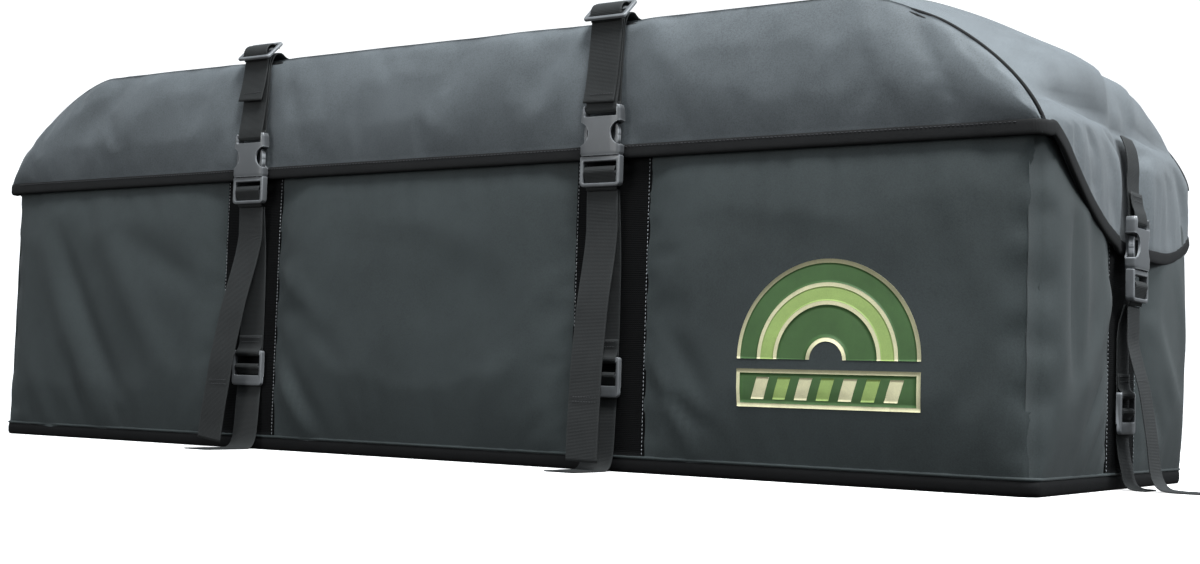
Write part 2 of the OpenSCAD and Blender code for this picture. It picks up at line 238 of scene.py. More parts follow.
def cloth(place, colour, pitch=1.3 * mm, strength=0.25, fade=0.16):
    threads = weave(place, pitch, 2 * mm)
    grain = noise_of(place, 620.0, 3.0, 0.75)
    cloud = noise_of(place, 5.0, 4.0, 0.6)
    dusty = noise_of(place, 38.0, 5.0, 0.65)
    tone = 0.4 * cloud + 0.2 * dusty + 0.8 * grain + 0.1 * threads
    dark = tuple(c * (1 - fade * 3.2) for c in colour[:3]) + (1,)
    light = tuple(c * (1 + fade * 3.8) for c in colour[:3]) + (1,)
    height = threads * 0.6 + grain * 1.8 + dusty * 0.8
    return {"Base Color": tone.smooth(0.2, 0.95).mix(dark, light),
            "Roughness": 0.62 + 0.22 * grain - 0.12 * dusty,
            "Normal": bump_of(height, strength, 0.4 * mm)}


tub_cloth = finish_of("tub_cloth", (0.0215, 0.0275, 0.028), cloth, Sheen_Weight=0.05, Sheen_Roughness=0.5,
                      Specular_IOR_Level=0.3)
# The lid is the tub's cloth painted about three times lighter: painted light for the stronger light from
# above on its upward-facing panels.
lid_cloth_painted_light = finish_of("lid_cloth_painted_light", (0.074, 0.084, 0.090), cloth, Sheen_Weight=0.08, Sheen_Roughness=0.45,
                      Specular_IOR_Level=0.35)
lining_cloth = finish_of("lining_cloth", (0.035, 0.037, 0.04),
                         lambda p, c: cloth(p, c, 2.2 * mm, 0.3, 0.12), Specular_IOR_Level=0.3)
base_cloth = finish_of("base_cloth", (0.004, 0.004, 0.0042),
                       lambda p, c: cloth(p, c, 1.6 * mm, 0.35, 0.2), Specular_IOR_Level=0.12)

# %% [markdown]
# ## Webbing and tape
# Webbing is woven so tightly that its weft shows as ribs across the width, about 1.4 mm apart,
# with a raised selvedge on each edge. Each strap carries its own UVs in metres, u across and v
# along, so the ribs follow every bend. Grosgrain binding is the same idea with finer ribs.


# %% Webbing finishes
def ribbed(place, colour, pitch, width):
    run = place.node("ShaderNodeUVMap")
    across, along, _ = axes_of(run)
    turns = 2 * math.pi / pitch
    ribs = (along * turns).sine()
    lanes = (across * (turns * 0.8)).sine()
    fuzz = noise_of(place, 1400.0, 2.0, 0.7)
    worn = noise_of(place, 24.0, 4.0, 0.6)
    selvedge = (across.size() / (width / 2)).smooth(0.86, 0.95)
    tone = (0.18 * ribs * lanes + 0.6 * fuzz + 0.4 * worn + 0.12 * selvedge).smooth(0.05, 0.9)
    dark = tuple(c * 0.6 for c in colour[:3]) + (1,)
    light = tuple(c * 2.0 for c in colour[:3]) + (1,)
    height = ribs * 0.6 + ribs * lanes * 0.5 + fuzz * 0.6
    return {"Base Color": tone.mix(dark, light),
            "Roughness": 0.6 + 0.25 * fuzz,
            "Normal": bump_of(height, 0.5, 0.35 * mm)}


strap_webbing = finish_of("strap_webbing", (0.0175, 0.0185, 0.0185),
                          lambda p, c: ribbed(p, c, 1.5 * mm, web_w), Specular_IOR_Level=0.22)
band_webbing = finish_of("band_webbing", (0.0022, 0.0023, 0.0024),
                         lambda p, c: ribbed(p, c, 2.0 * mm, 95 * mm), Specular_IOR_Level=0.08)
binding_tape = finish_of("binding_tape", (0.0070, 0.0072, 0.0074),
                         lambda p, c: ribbed(p, c, 1.1 * mm, 30 * mm), Specular_IOR_Level=0.2)

# %% [markdown]
# ## Moulded plastic, thread and print
# The buckles are acetal: black, with a fine spark-eroded grain that spreads the highlight. Their
# colour is a dark grey rather than black, and their convex edges are lighter still: painted
# highlight for their satin sheen. Thread is bonded nylon. The badge is a printed film, so its colours
# are flat with a slight tooth from the cloth below.


# %% Hard finishes
def moulded(place, colour):
    spark = noise_of(place, 1800.0, 2.0, 0.6)
    flow = noise_of(place, 60.0, 3.0, 0.5)
    # Convex edges, found by pointiness, mix towards the lighter grey: a painted highlight. The flow noise
    # mixes in the same grey as a random tone.
    edge = place.node("ShaderNodeNewGeometry", out=7).smooth(0.5, 0.62)
    light = tuple(min(1, c * 3.5 + 0.06) for c in colour[:3]) + (1,)
    return {"Base Color": (0.25 * flow + 0.75 * edge).smooth(0.1, 0.9).mix(colour, light),
            "Roughness": 0.30 + 0.14 * flow + 0.1 * spark - 0.06 * edge,
            "Normal": bump_of(spark, 0.16, 0.2 * mm)}


def thread(place, colour):
    twist = noise_of(place, 2500.0, 2.0, 0.6)
    light = tuple(c * 1.7 for c in colour[:3]) + (1,)
    return {"Base Color": twist.smooth(0.3, 0.7).mix(colour, light), "Roughness": 0.5 + 0.2 * twist}


def printed(place, colour):
    grain = noise_of(place, 900.0, 3.0, 0.7)
    worn = noise_of(place, 45.0, 5.0, 0.65)
    dull = tuple(c * 0.72 for c in colour[:3]) + (1,)
    return {"Base Color": (0.5 * grain + 0.7 * worn).smooth(0.3, 0.85).mix(dull, colour),
            "Roughness": 0.5 + 0.2 * grain,
            "Normal": bump_of(grain + 0.5 * weave(place, 1.3 * mm, 2 * mm), 0.22, 0.3 * mm)}


# A dark grey base rather than black: partly painted highlight for the satin sheen.
buckle_plastic = finish_of("buckle_plastic", (0.085, 0.089, 0.093), moulded, Coat_Weight=0.15,
                           Specular_IOR_Level=0.45)
dark_thread = finish_of("dark_thread", (0.02, 0.02, 0.022), thread)
pale_thread = finish_of("pale_thread", (0.22, 0.23, 0.24), thread)
badge_green = finish_of("badge_green", (0.045, 0.115, 0.026), printed)
badge_lime = finish_of("badge_lime", (0.33, 0.46, 0.13), printed)
badge_cream = finish_of("badge_cream", (0.72, 0.68, 0.42), printed)

# %% [markdown]
# ## Building cloth from a grid
# A panel starts as a grid of points on its outer face. `shell_from` gives it a thickness and
# closed rims, so that it is a solid a slicer would accept. `settle` lets Blender's cloth solver
# move the grid first: the seams are pinned, the cloth is a little larger than its frame, and a
# slight push outwards does the work of the padding. A cap keeps the size honest.


# %% Grid helpers
def new_object(name, verts, faces, material, smooth=True):
    mesh = bpy.data.meshes.new(name)
    mesh.from_pydata([tuple(v) for v in verts], [], [tuple(int(i) for i in f) for f in faces])
    mesh.update()
    if smooth:
        mesh.shade_smooth()
    if material:
        mesh.materials.append(material)
    made = bpy.data.objects.new(name, mesh)
    bpy.context.scene.collection.objects.link(made)
    return made


def fit(made, body, slot_name, *nodes, fill=None):
    """Let a piece ride on a body and say which nodes it stands for. slot_name is not used."""
    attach(made, body)
    if nodes:
        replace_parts(made, *nodes)
    return made


def ring_faces(first, second, count):
    """Quads between two closed rings of points."""
    return [(first + j, first + (j + 1) % count, second + (j + 1) % count, second + j) for j in range(count)]


def length_along(path):
    return np.concatenate([[0], np.cumsum(np.linalg.norm(np.diff(path, axis=0), axis=1))])


def grid_faces(ni, nj, start=0, flip=False):
    i, j = np.meshgrid(np.arange(ni - 1), np.arange(nj - 1), indexing="ij")
    a = start + i * nj + j
    quads = np.stack([a, a + nj, a + nj + 1, a + 1], -1).reshape(-1, 4)
    return quads[:, ::-1] if flip else quads


def normals_of(grid):
    du, dv = np.gradient(grid, axis=0), np.gradient(grid, axis=1)
    n = np.cross(du, dv)
    return n / np.maximum(np.linalg.norm(n, axis=2, keepdims=True), 1e-12)


def shell_from(name, grid, thick, material, outward):
    """A closed sheet whose outer face is the grid. outward is any vector on the outer side."""
    grid = np.asarray(grid, float)
    ni, nj = grid.shape[:2]
    n = normals_of(grid)
    flip = float((n.mean((0, 1)) * np.array(outward)).sum()) < 0
    n = -n if flip else n
    verts = np.concatenate([grid.reshape(-1, 3), (grid - n * thick).reshape(-1, 3)])
    size = ni * nj
    faces = [*grid_faces(ni, nj, 0, flip), *grid_faces(ni, nj, size, not flip)]
    ring = ([i * nj for i in range(ni)] + [(ni - 1) * nj + j for j in range(1, nj)]
            + [i * nj + nj - 1 for i in range(ni - 2, -1, -1)] + [j for j in range(nj - 2, 0, -1)])
    for a, b in zip(ring, ring[1:] + ring[:1]):
        rim = (a, b, b + size, a + size)
        faces.append(rim[::-1] if flip else rim)
    made = new_object(name, verts, faces, material)
    made.data.validate()
    return made


def settle(grid, pinned, push, grow=0.004, frames=16, cap=7 * mm, bend=6.0):
    """Cloth solver on an open grid. pinned is 1 where a point is sewn down."""
    grid = np.asarray(grid, float)
    ni, nj = grid.shape[:2]
    made = new_object("cloth_run", grid.reshape(-1, 3), grid_faces(ni, nj), None)
    group = made.vertex_groups.new(name="sewn")
    flat = np.asarray(pinned, float).reshape(-1)
    for level in np.unique(np.round(flat, 2)):
        if level > 0:
            group.add([int(k) for k in np.nonzero(np.round(flat, 2) == level)[0]], float(level), "REPLACE")
    scene = bpy.context.scene
    before, scene.gravity = tuple(scene.gravity), push
    cloth_run = made.modifiers.new("cloth", "CLOTH").settings
    cloth_run.vertex_group_mass = "sewn"
    cloth_run.quality, cloth_run.mass, cloth_run.air_damping = 6, 0.3, 4.0
    cloth_run.tension_stiffness = cloth_run.compression_stiffness = 40
    cloth_run.shear_stiffness, cloth_run.bending_stiffness = 15, bend
    cloth_run.shrink_min = cloth_run.shrink_max = -grow
    for f in range(1, frames + 1):
        scene.frame_set(f)
    view = made.evaluated_get(bpy.context.evaluated_depsgraph_get())
    moved = np.array([v.co for v in view.data.vertices], float).reshape(grid.shape)
    scene.frame_set(1)
    scene.gravity = before
    bpy.data.objects.remove(made)
    step = moved - grid
    length = np.linalg.norm(step, axis=2, keepdims=True)
    return grid + step * np.minimum(1, cap / np.maximum(length, 1e-9))


def ripple(x, z, size, seed):
    return noise.noise(Vector((x / size + 7.3 * seed, z / size - 3.1 * seed, 1.7 * seed)))


def fold(x, z, *line):
    """A soft ridge along a line on a panel: its start, end, width and height, all in mm.
    A negative height makes a valley."""
    ax, az, bx, bz, width, height = (v * mm for v in line)
    span = (bx - ax) ** 2 + (bz - az) ** 2
    t = ((x - ax) * (bx - ax) + (z - az) * (bz - az)) / span
    c = min(max(t, 0), 1)
    away = math.hypot(x - ax - c * (bx - ax), z - az - c * (bz - az))
    taper = math.sin(math.pi * min(max(0.12 + 0.76 * c, 0), 1))
    return height * taper * math.exp(-((away / width) ** 2))


def ease(x):
    c = min(max(x, 0.0), 1.0)
    return c * c * (3 - 2 * c)


# %% [markdown]
# ## The front of the tub
# Foam keeps the wall nearly flat, but the cloth over it is loose. It swells between the base
# and the lid, draws in where the bands are sewn, and creases diagonally where the straps pull.
# The folds are placed as soft ridges, and the solver adds the small ones.

# %% Front and back walls
band_half = (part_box("front_right_band")[1].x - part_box("front_right_band")[0].x) / 2
band_x = middle("front_right_band").x
seam_r = 13 * mm

front_folds = [
    (-640, 285, -480, 30, 15, -6.5), (-665, 270, -540, 40, 20, 5.5), (-560, 310, -400, 80, 24, 6),
    (-500, 270, -330, 190, 20, -4), (-710, 160, -640, 20, 16, 4), (-600, 120, -560, 20, 12, -3.6),
    (-212, 225, -150, 160, 16, 4.5), (-214, 140, -135, 30, 12, -4.5), (-212, 100, -165, 25, 9, 4.5),
    (-205, 190, -100, 110, 16, -2.6), (322, 130, 372, 30, 9, 5), (324, 190, 400, 70, 13, -4.4),
    (330, 90, 420, 40, 9, -3.4), (-50, 300, 120, 230, 24, 2.4), (640, 310, 700, 160, 18, 3.4),
    (380, 300, 560, 262, 22, 2.4), (60, 60, 180, 120, 18, 2.6), (690, 120, 640, 30, 14, -3),
]


def near_band(x):
    return max(0.0, 1 - max(0, abs(abs(x) - band_x) - band_half) / (30 * mm))


def wall_swell(x, z, half, folds, seed):
    """How far a wall's cloth stands out from the flat foam."""
    up = min(1.07 * (z - border_z) / (edge_z - border_z), 1)
    side = 1 - min(abs(x) / half, 1) ** 10
    rise = max(0.0, 1 - (2 * max(up, 0) - 1) ** 4)
    body = 7.0 * mm * side * rise ** 0.7
    waves = (4.0 * mm * ripple(x, z, 0.21, seed) + 1.7 * mm * ripple(x, z, 0.07, seed + 1)) * side * rise
    creases = sum(fold(x, z, *f) for f in folds) * min(1, side * 1.2)
    return body + waves + creases


def puckers(x, z, half, band_at, band_w):
    """Small gathers where thread draws the cloth in, at the corners and beside the bands."""
    corner_in = math.exp(-(((half - 14 * mm - abs(x)) / (17 * mm)) ** 2))
    beside = max(0.0, abs(abs(x) - abs(band_at)) - band_w)
    band_in = math.exp(-((beside / (13 * mm)) ** 2)) * (beside > 0)
    gather = math.sin(z / (8.5 * mm) + 2.2 * ripple(x, z, 0.05, 41)) * ease((z - border_z) / (30 * mm))
    return (0.55 * corner_in + 0.7 * band_in * ease(beside / (3 * mm))) * mm * gather * (z < edge_z - 10 * mm)


def front_swell(x, z):
    calm = 1 - 0.93 * ease(near_band(x))
    return wall_swell(x, z, half_l, front_folds, 1) * calm + puckers(x, z, half_l, band_x, band_half)


def back_swell(x, z):
    calm = 1 - 0.93 * ease(near_band(x))
    return wall_swell(x, z, half_l, [], 5) * calm + puckers(x, z, half_l, band_x, band_half)


def wall_grid(half, face, swell, top, place, nx, nz):
    """Rows of points from base to rim. place(x, depth, z) turns a wall's own axes to the frame's."""
    rows = []
    for x in np.linspace(-half, half, nx + 1):
        inset = max(0.0, abs(x) - (half - seam_r)) / seam_r
        round_in = seam_r * (1 - math.sqrt(max(0.0, 1 - inset ** 2))) * 0.8
        low = border_z - 3 * mm
        rows.append([place(x * (1 - 0.0035 * inset), face + swell(x, min(z, edge_z)) - round_in, z)
                     for z in np.linspace(low, top(x), nz + 1)])
    return np.array(rows)


def front_top(x):
    """The front rim rises behind the lid's edge, but not under the shoulders."""
    low, high = edge_z - 0.5 * mm, rim_z - 6 * mm
    return low + (high - low) * ease((half_l - 46 * mm - abs(x)) / (24 * mm))


def plain_top(x):
    return edge_z - 0.5 * mm


def sewn_edges(ni, nj, extra=None):
    pins = np.zeros((ni, nj))
    pins[0, :] = pins[-1, :] = pins[:, 0] = pins[:, -1] = 1
    if extra is not None:
        pins = np.maximum(pins, extra)
    return pins


def band_pins(grid):
    near = np.abs(np.abs(grid[:, :, 0]) - band_x) < band_half
    return near.astype(float)


front_grid = wall_grid(half_l, half_w, front_swell, front_top, lambda x, d, z: (x, -d, z), 190, 46)
front_grid = settle(front_grid, sewn_edges(*front_grid.shape[:2], band_pins(front_grid)), (0, -3, -1))
front_cloth = shell_from("front_panel_cloth", front_grid, 3 * mm, tub_cloth, (0, -1, 0))
fit(front_cloth, "tub", "tub_fabric", "front_panel", fill=0.5)

back_grid = wall_grid(half_l, half_w, back_swell, plain_top, lambda x, d, z: (-x, d, z), 150, 36)
back_cloth = shell_from("back_panel_cloth", back_grid, 3 * mm, tub_cloth, (0, 1, 0))
fit(back_cloth, "tub", "tub_fabric", "back_panel", fill=0.5)
print("front wall stands out", round((-front_grid[:, :, 1].min() - half_w) / mm, 1), "mm")

# %% [markdown]
# ## The ends of the tub
# Each end is a narrower panel of the same cloth. Near the front corner the foam ends short, so
# the cloth dents into an upright crease, and the strap's pull draws slanting folds below.

# %% End walls
end_folds = [
    (-172, 262, -176, 120, 10, -5.5), (-148, 280, -152, 110, 14, 3.6), (-55, 210, -190, 50, 15, 5),
    (-50, 150, -150, 35, 11, -4.6), (70, 180, 200, 60, 16, 4), (60, 120, 150, 35, 11, -3.4),
    (170, 240, 215, 120, 14, 2.8),
]
end_band_half = (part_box("right_end_band")[1].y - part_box("right_end_band")[0].y) / 2
end_y = middle("right_end_band").y


def end_swell(y, z):
    away = max(0.0, abs(y - end_y) - end_band_half) / (30 * mm)
    return (wall_swell(y, z, half_w, end_folds, 3) * (1 - 0.93 * ease(1 - away))
            + puckers(y, z, half_w, end_y, end_band_half))


def make_end(name, node, side):
    grid = wall_grid(half_w, half_l, end_swell, plain_top,
                     lambda y, d, z: (side * d, y, z), 64, 46)
    near = (np.abs(grid[:, :, 1] - end_y) < end_band_half).astype(float)
    grid = settle(grid, sewn_edges(*grid.shape[:2], near), (side * 6, 0, -1))
    made = shell_from(name, grid, 3 * mm, tub_cloth, (side, 0, 0))
    fit(made, "tub", "tub_fabric", node, fill=0.5)


make_end("right_end_cloth", "right_end_panel", 1)
make_end("left_end_cloth", "left_end_panel", -1)

# %% [markdown]
# ## Sweeps for tape, piping and webbing
# Tape and webbing are too thin for the solver, so they are swept directly: a rounded section
# follows a path, with its flat side kept against the cloth. The path is a few given points
# joined by a smooth curve. The same sweep with a round section makes piping and rods.


# %% Sweep helpers
def curve_through(points, step=4 * mm):
    """A Catmull-Rom curve through the points, sampled about every step."""
    p = [np.array(q, float) for q in points]
    p = [2 * p[0] - p[1], *p, 2 * p[-1] - p[-2]]
    out = []
    for a, b, c, d in zip(p, p[1:], p[2:], p[3:]):
        count = max(2, int(np.linalg.norm(c - b) / step))
        for t in np.arange(count) / count:
            out.append(0.5 * (2 * b + (c - a) * t + (2 * a - 5 * b + 4 * c - d) * t ** 2
                              + (3 * b - a - 3 * c + d) * t ** 3))
    return np.array([*out, p[-2]])


def section(half_side, half_thick, power, count=20):
    """A rounded section: power 2 is an ellipse, and 6 a flat strap with soft edges."""
    turn = np.arange(count) * 2 * math.pi / count
    c, s = np.cos(turn), np.sin(turn)
    return np.stack([half_side * np.sign(c) * np.abs(c) ** (2 / power),
                     half_thick * np.sign(s) * np.abs(s) ** (2 / power)], 1)


def unit_rows(v):
    return v / np.maximum(np.linalg.norm(v, axis=-1, keepdims=True), 1e-12)


def sweep(name, path, side, shape, material, closed=False, scale=None):
    """shape's first axis follows side, one vector or one per point, and its second the normal."""
    path = np.asarray(path, float)
    side = np.broadcast_to(np.asarray(side, float), path.shape)
    if closed:
        tangent = unit_rows(np.roll(path, -1, 0) - np.roll(path, 1, 0))
    else:
        tangent = unit_rows(np.gradient(path, axis=0))
    side = unit_rows(side - tangent * (side * tangent).sum(1, keepdims=True))
    normal = np.cross(tangent, side)
    n, k = len(path), len(shape)
    size = np.ones(n) if scale is None else np.asarray(scale, float)
    verts = (path[:, None] + shape[None, :, :1] * side[:, None] * size[:, None, None]
             + shape[None, :, 1:] * normal[:, None] * size[:, None, None]).reshape(-1, 3)
    faces = []
    for i in range(n if closed else n - 1):
        faces += ring_faces(i * k, (i + 1) % n * k, k)
    if not closed:
        faces += [tuple(range(k))[::-1], tuple((n - 1) * k + j for j in range(k))]
    made = new_object(name, verts, faces, material)
    run = length_along(path)
    uv = made.data.uv_layers.new(name="UVMap").data
    across = np.tile(shape[:, 0], n)
    loops = np.zeros(len(made.data.loops), int)
    made.data.loops.foreach_get("vertex_index", loops)
    pairs = np.stack([across[loops], run[loops // k]], 1)
    uv.foreach_set("uv", pairs.reshape(-1))
    return made


def strap(name, path, side, material=None, width=None, thick=web_t):
    shape = section((width or web_w) / 2, thick / 2, 7, 24)
    return sweep(name, path, side, shape, material or strap_webbing)


def join(name, parts):
    """Several meshes of one piece, kept as separate closed shells in one object."""
    verts, faces, materials, picks, uvs = [], [], [], [], []
    for part in parts:
        base = len(verts)
        verts += [tuple(v.co) for v in part.data.vertices]
        skin = part.data.materials[0]
        if skin not in materials:
            materials.append(skin)
        layer = part.data.uv_layers.active
        for p in part.data.polygons:
            faces.append([base + i for i in p.vertices])
            picks.append(materials.index(skin))
            uvs += [tuple(layer.data[i].uv) if layer else (0.0, 0.0) for i in p.loop_indices]
        bpy.data.objects.remove(part)
    made = new_object(name, verts, faces, None)
    for skin in materials:
        made.data.materials.append(skin)
    made.data.polygons.foreach_set("material_index", picks)
    made.data.uv_layers.new(name="UVMap").data.foreach_set("uv", [c for uv in uvs for c in uv])
    return made


def stitches(name, path, normal, length=3.2 * mm, pitch=4.6 * mm, thick=0.42 * mm, material=None):
    """A row of lock stitches: short rounded threads that dip into the cloth at both ends."""
    path = np.asarray(path, float)
    run = length_along(path)
    starts = np.arange(pitch / 2, run[-1] - length, pitch)
    normal = np.broadcast_to(np.asarray(normal, float), path.shape)
    ring = section(thick, thick * 0.8, 2, 6)
    verts, faces = [], []
    for s in starts:
        base = len(verts)
        for t, lift, wide in ((0, -0.6, 0.3), (0.18, 0.3, 1), (0.5, 0.7, 1.1), (0.82, 0.3, 1),
                              (1, -0.6, 0.3)):
            at = s + t * length
            c = np.array([np.interp(at, run, path[:, a]) for a in range(3)])
            n = unit_rows(np.array([np.interp(at, run, normal[:, a]) for a in range(3)]))
            d = unit_rows(np.array([np.interp(at + 1 * mm, run, path[:, a]) for a in range(3)]) - c)
            w = np.cross(n, d)
            verts += [c + n * (lift * thick + q[1] * wide) + w * q[0] * wide for q in ring]
        for r in range(4):
            a, b = base + 6 * r, base + 6 * r + 6
            faces += [(a + j, b + j, b + (j + 1) % 6, a + (j + 1) % 6) for j in range(6)]
        faces += [tuple(base + j for j in range(6)), tuple(base + 24 + j for j in range(5, -1, -1))]
    return new_object(name, verts, faces, material or dark_thread)


def round_rect_path(half_x, half_y, radius, z, step=8 * mm):
    """A closed path round a rectangle with round corners, counter-clockwise from above."""
    out = []
    for cx, cy, start in ((1, -1, -90), (1, 1, 0), (-1, 1, 90), (-1, -1, 180)):
        for k in range(9):
            a = math.radians(start + 90 * k / 8)
            out.append((cx * (half_x - radius) + radius * math.cos(a),
                        cy * (half_y - radius) + radius * math.sin(a), z))
    dense = []
    for a, b in zip(out, out[1:] + out[:1]):
        a, b = np.array(a), np.array(b)
        count = max(1, int(np.linalg.norm(b - a) / step))
        dense += [a + (b - a) * t / count for t in range(count)]
    return np.array(dense)


# %% [markdown]
# ## Base, bands and seams of the tub
# The bottom is heavier coated cloth, turned up into a black border and edged with piping. The
# bands are 95 mm webbing sewn flat from border to rim, with a pale lock stitch near each edge.

# %% Base, piping, bands
corner = 14 * mm
border_rings = ((0, 3.5), (0.6, 1.4), (4, 0.2), (9, 0), (border_z / mm - 1, 0.3), (border_z / mm, 1.2))
verts, faces = [], []
for height, inset in border_rings:
    ring = round_rect_path(half_l + 1.5 * mm - inset * mm, half_w + 1.5 * mm - inset * mm,
                           corner + 1.5 * mm - inset * mm * 0.5, height * mm)
    verts += [*ring]
count = len(ring)
inner_ring = round_rect_path(half_l - 4 * mm, half_w - 4 * mm, corner - 3 * mm, border_z - 0.5 * mm)
low_ring = round_rect_path(half_l - 4 * mm, half_w - 4 * mm, corner - 3 * mm, 3 * mm)
rings = len(border_rings)
verts += [*inner_ring, *low_ring]
for r in range(rings + 1):
    a, b = r * count, (r + 1) * count
    faces += ring_faces(a, b, count)
faces += [tuple(range(count))[::-1], tuple((rings + 1) * count + j for j in range(count))]
base = new_object("base_border_cloth", verts, faces, base_cloth)
fit(base, "tub", "base_fabric", "base_tray")

piping_path = round_rect_path(half_l + 0.6 * mm, half_w + 0.6 * mm, corner + 0.6 * mm, border_z + 1.4 * mm)
base_cord = sweep("base_piping_cord", piping_path, (0, 0, 1), section(1.7 * mm, 1.7 * mm, 2, 10),
                  tub_cloth, closed=True)
fit(base_cord, "tub", "binding", "base_piping")


def band_on(name, node, centre, half, swell, place, top, out):
    """A wide band that follows the wall's swell, with two rows of pale stitches."""
    zs = np.linspace(border_z + 2 * mm, top, 50)
    grid = np.array([[place(centre + half * u, swell(centre + half * u, min(z, edge_z)) + 1.5 * mm
                            - 0.5 * mm * abs(u) ** 8, z) for z in zs] for u in np.linspace(-1, 1, 17)])
    made = shell_from(name, grid, 1.3 * mm, band_webbing, out)
    uv = made.data.uv_layers.new(name="UVMap").data
    size = grid.shape[0] * grid.shape[1]
    for loop, spot in zip(made.data.loops, uv):
        i, j = divmod(loop.vertex_index % size, grid.shape[1])
        spot.uv = (half * (-1 + i / 8), zs[j])
    rows = []
    for u in (-0.95, 0.95):
        line = [place(centre + half * u, swell(centre + half * u, z) + 1.75 * mm, z) for z in zs]
        rows.append(stitches(name + "_row", line, out, 2.6 * mm, 4.2 * mm, 0.36 * mm, pale_thread))
    sewn = join(name + "_stitches", rows)
    fit(made, "tub", "webbing", *node)
    fit(sewn, "tub", "webbing")


def on_front(x, d, z):
    return (x, -half_w - d, z)


def on_back(x, d, z):
    return (-x, half_w + d, z)


def on_end(side):
    return lambda y, d, z: (side * (half_l + d), y, z)


under_lid = edge_z - 0.5 * mm
back_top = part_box("back_bands")[1].z
for side, hand in ((1, "right"), (-1, "left")):
    band_on(f"front_{hand}_band_web", [f"front_{hand}_band"], side * band_x, band_half, front_swell, on_front,
            under_lid, (0, -1, 0))
    band_on(f"{hand}_end_band_web", [f"{hand}_end_band"], end_y, end_band_half, end_swell, on_end(side),
            under_lid, (side, 0, 0))
    band_on(f"back_{hand}_band_web", ["back_bands"] * (side > 0), side * band_x, band_half,
            back_swell, on_back,
            back_top, (0, 1, 0))
print("bands on", round(2 * band_half / mm), "mm webbing")

# %% [markdown]
# ## Lining, floor and rim
# With the lid open the inside shows: a darker lining quilted to the foam, a floor panel over the
# stiff board, and tape that binds the rim. The lining is one closed loop of grid, drawn in at
# its quilting lines, so it has no gaps at the corners.

# %% Inside of the tub
lining_in, lining_out = 8.6 * mm, 4.2 * mm
levels = np.linspace(floor_z - 1 * mm, edge_z - 5 * mm, 40)
outer_loop = round_rect_path(half_l - lining_out, half_w - lining_out, 8 * mm, 0, 18 * mm)
inner_loop = outer_loop * np.array([(half_l - lining_in) / (half_l - lining_out),
                                    (half_w - lining_in) / (half_w - lining_out), 1])
verts, faces = [], []
count = len(outer_loop)
run = length_along(inner_loop)
for z in levels:
    verts += [(p[0], p[1], z) for p in outer_loop]
for z in levels:
    up = (z - levels[0]) / (levels[-1] - levels[0])
    for p, s in zip(inner_loop, run):
        quilt = 2.6 * mm * abs(math.sin(math.pi * s / 0.121)) ** 0.5 * abs(math.sin(math.pi * up * 2)) ** 0.4
        verts.append((p[0] - math.copysign(quilt, p[0]) * (abs(p[0]) > half_l - 0.05),
                      p[1] - math.copysign(quilt, p[1]) * (abs(p[1]) > half_w - 0.03), z))
n = len(levels)
for i in range(n - 1):
    faces += ring_faces(i * count, (i + 1) * count, count)
for i in range(n, 2 * n - 1):
    faces += [quad[::-1] for quad in ring_faces(i * count, (i + 1) * count, count)]
faces += [quad[::-1] for quad in ring_faces(0, n * count, count)]
faces += ring_faces((n - 1) * count, (2 * n - 1) * count, count)
lining = new_object("quilted_lining", verts, faces, lining_cloth)
fit(lining, "tub", "foam", "wall_padding", fill=0.4)

floor_half = (half_l - 11 * mm, half_w - 11 * mm)
floor_grid = np.array([[(x, y, floor_z + 1.2 * mm * ripple(x, y, 0.16, 9) * (1 - (x / floor_half[0]) ** 8)
                         * (1 - (y / floor_half[1]) ** 8))
                        for y in np.linspace(-floor_half[1], floor_half[1], 30)]
                       for x in np.linspace(-floor_half[0], floor_half[0], 90)])
floor_panel = shell_from("floor_panel_cloth", floor_grid, 4 * mm, lining_cloth, (0, 0, 1))
fit(floor_panel, "tub", "stiff_board", "base_board")

rim_path = round_rect_path(half_l - 5 * mm, half_w - 5 * mm, corner - 5 * mm, 0)
rim_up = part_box("rim_binding")[1].z - 5 * mm
low_rim = edge_z - 4 * mm
rim_path[:, 2] = [low_rim + (rim_up - low_rim) * ease((half_l - 46 * mm - abs(p[0])) / (24 * mm))
                  * (p[1] < -half_w + 9 * mm) for p in rim_path]
rim_tape = sweep("rim_binding_tape", rim_path, (0, 0, 1),
                 section(4.6 * mm, 2.4 * mm, 4, 12), binding_tape, closed=True)
fit(rim_tape, "tub", "binding", "rim_binding")

# %% [markdown]
# ## The badge
# A printed film in three flat colours, an arch over a bar of slanted blocks. Each colour is a
# thin sheet of its own that follows the wall's swell, so the print bends with the cloth.

# %% Badge
badge_low, badge_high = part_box("emblem_patch")
badge_x = (badge_low.x + badge_high.x) / 2
badge_half = (badge_high.x - badge_low.x) / 2
bar_top = badge_low.z + 38 * mm
arch_z = badge_low.z + 48 * mm


front_skin = BVHTree.FromPolygons([tuple(p) for p in front_grid.reshape(-1, 3)],
                                  [tuple(int(i) for i in f) for f in grid_faces(*front_grid.shape[:2])])


def front_at(x, z):
    """The front cloth's y, by a ray from outside."""
    return front_skin.ray_cast(Vector((x, -1, z)), Vector((0, 1, 0)))[0].y


def film(name, spots, lift, material):
    grid = np.array([[(x, front_at(x, z) - lift, z) for x, z in row] for row in spots])
    return shell_from(name, grid, 0.35 * mm, material, (0, -1, 0))


def arch_band(r0, r1):
    return [[(badge_x + r * math.cos(a), arch_z + r * math.sin(a)) for r in np.linspace(r0, r1, 9)]
            for a in np.linspace(0, math.pi, 121)]


def block(x0, x1, z0, z1, slant=0.0):
    return [[(badge_x + x + slant * (z - z0), z) for z in np.linspace(z0, z1, 10)]
            for x in np.linspace(x0, x1, 40)]


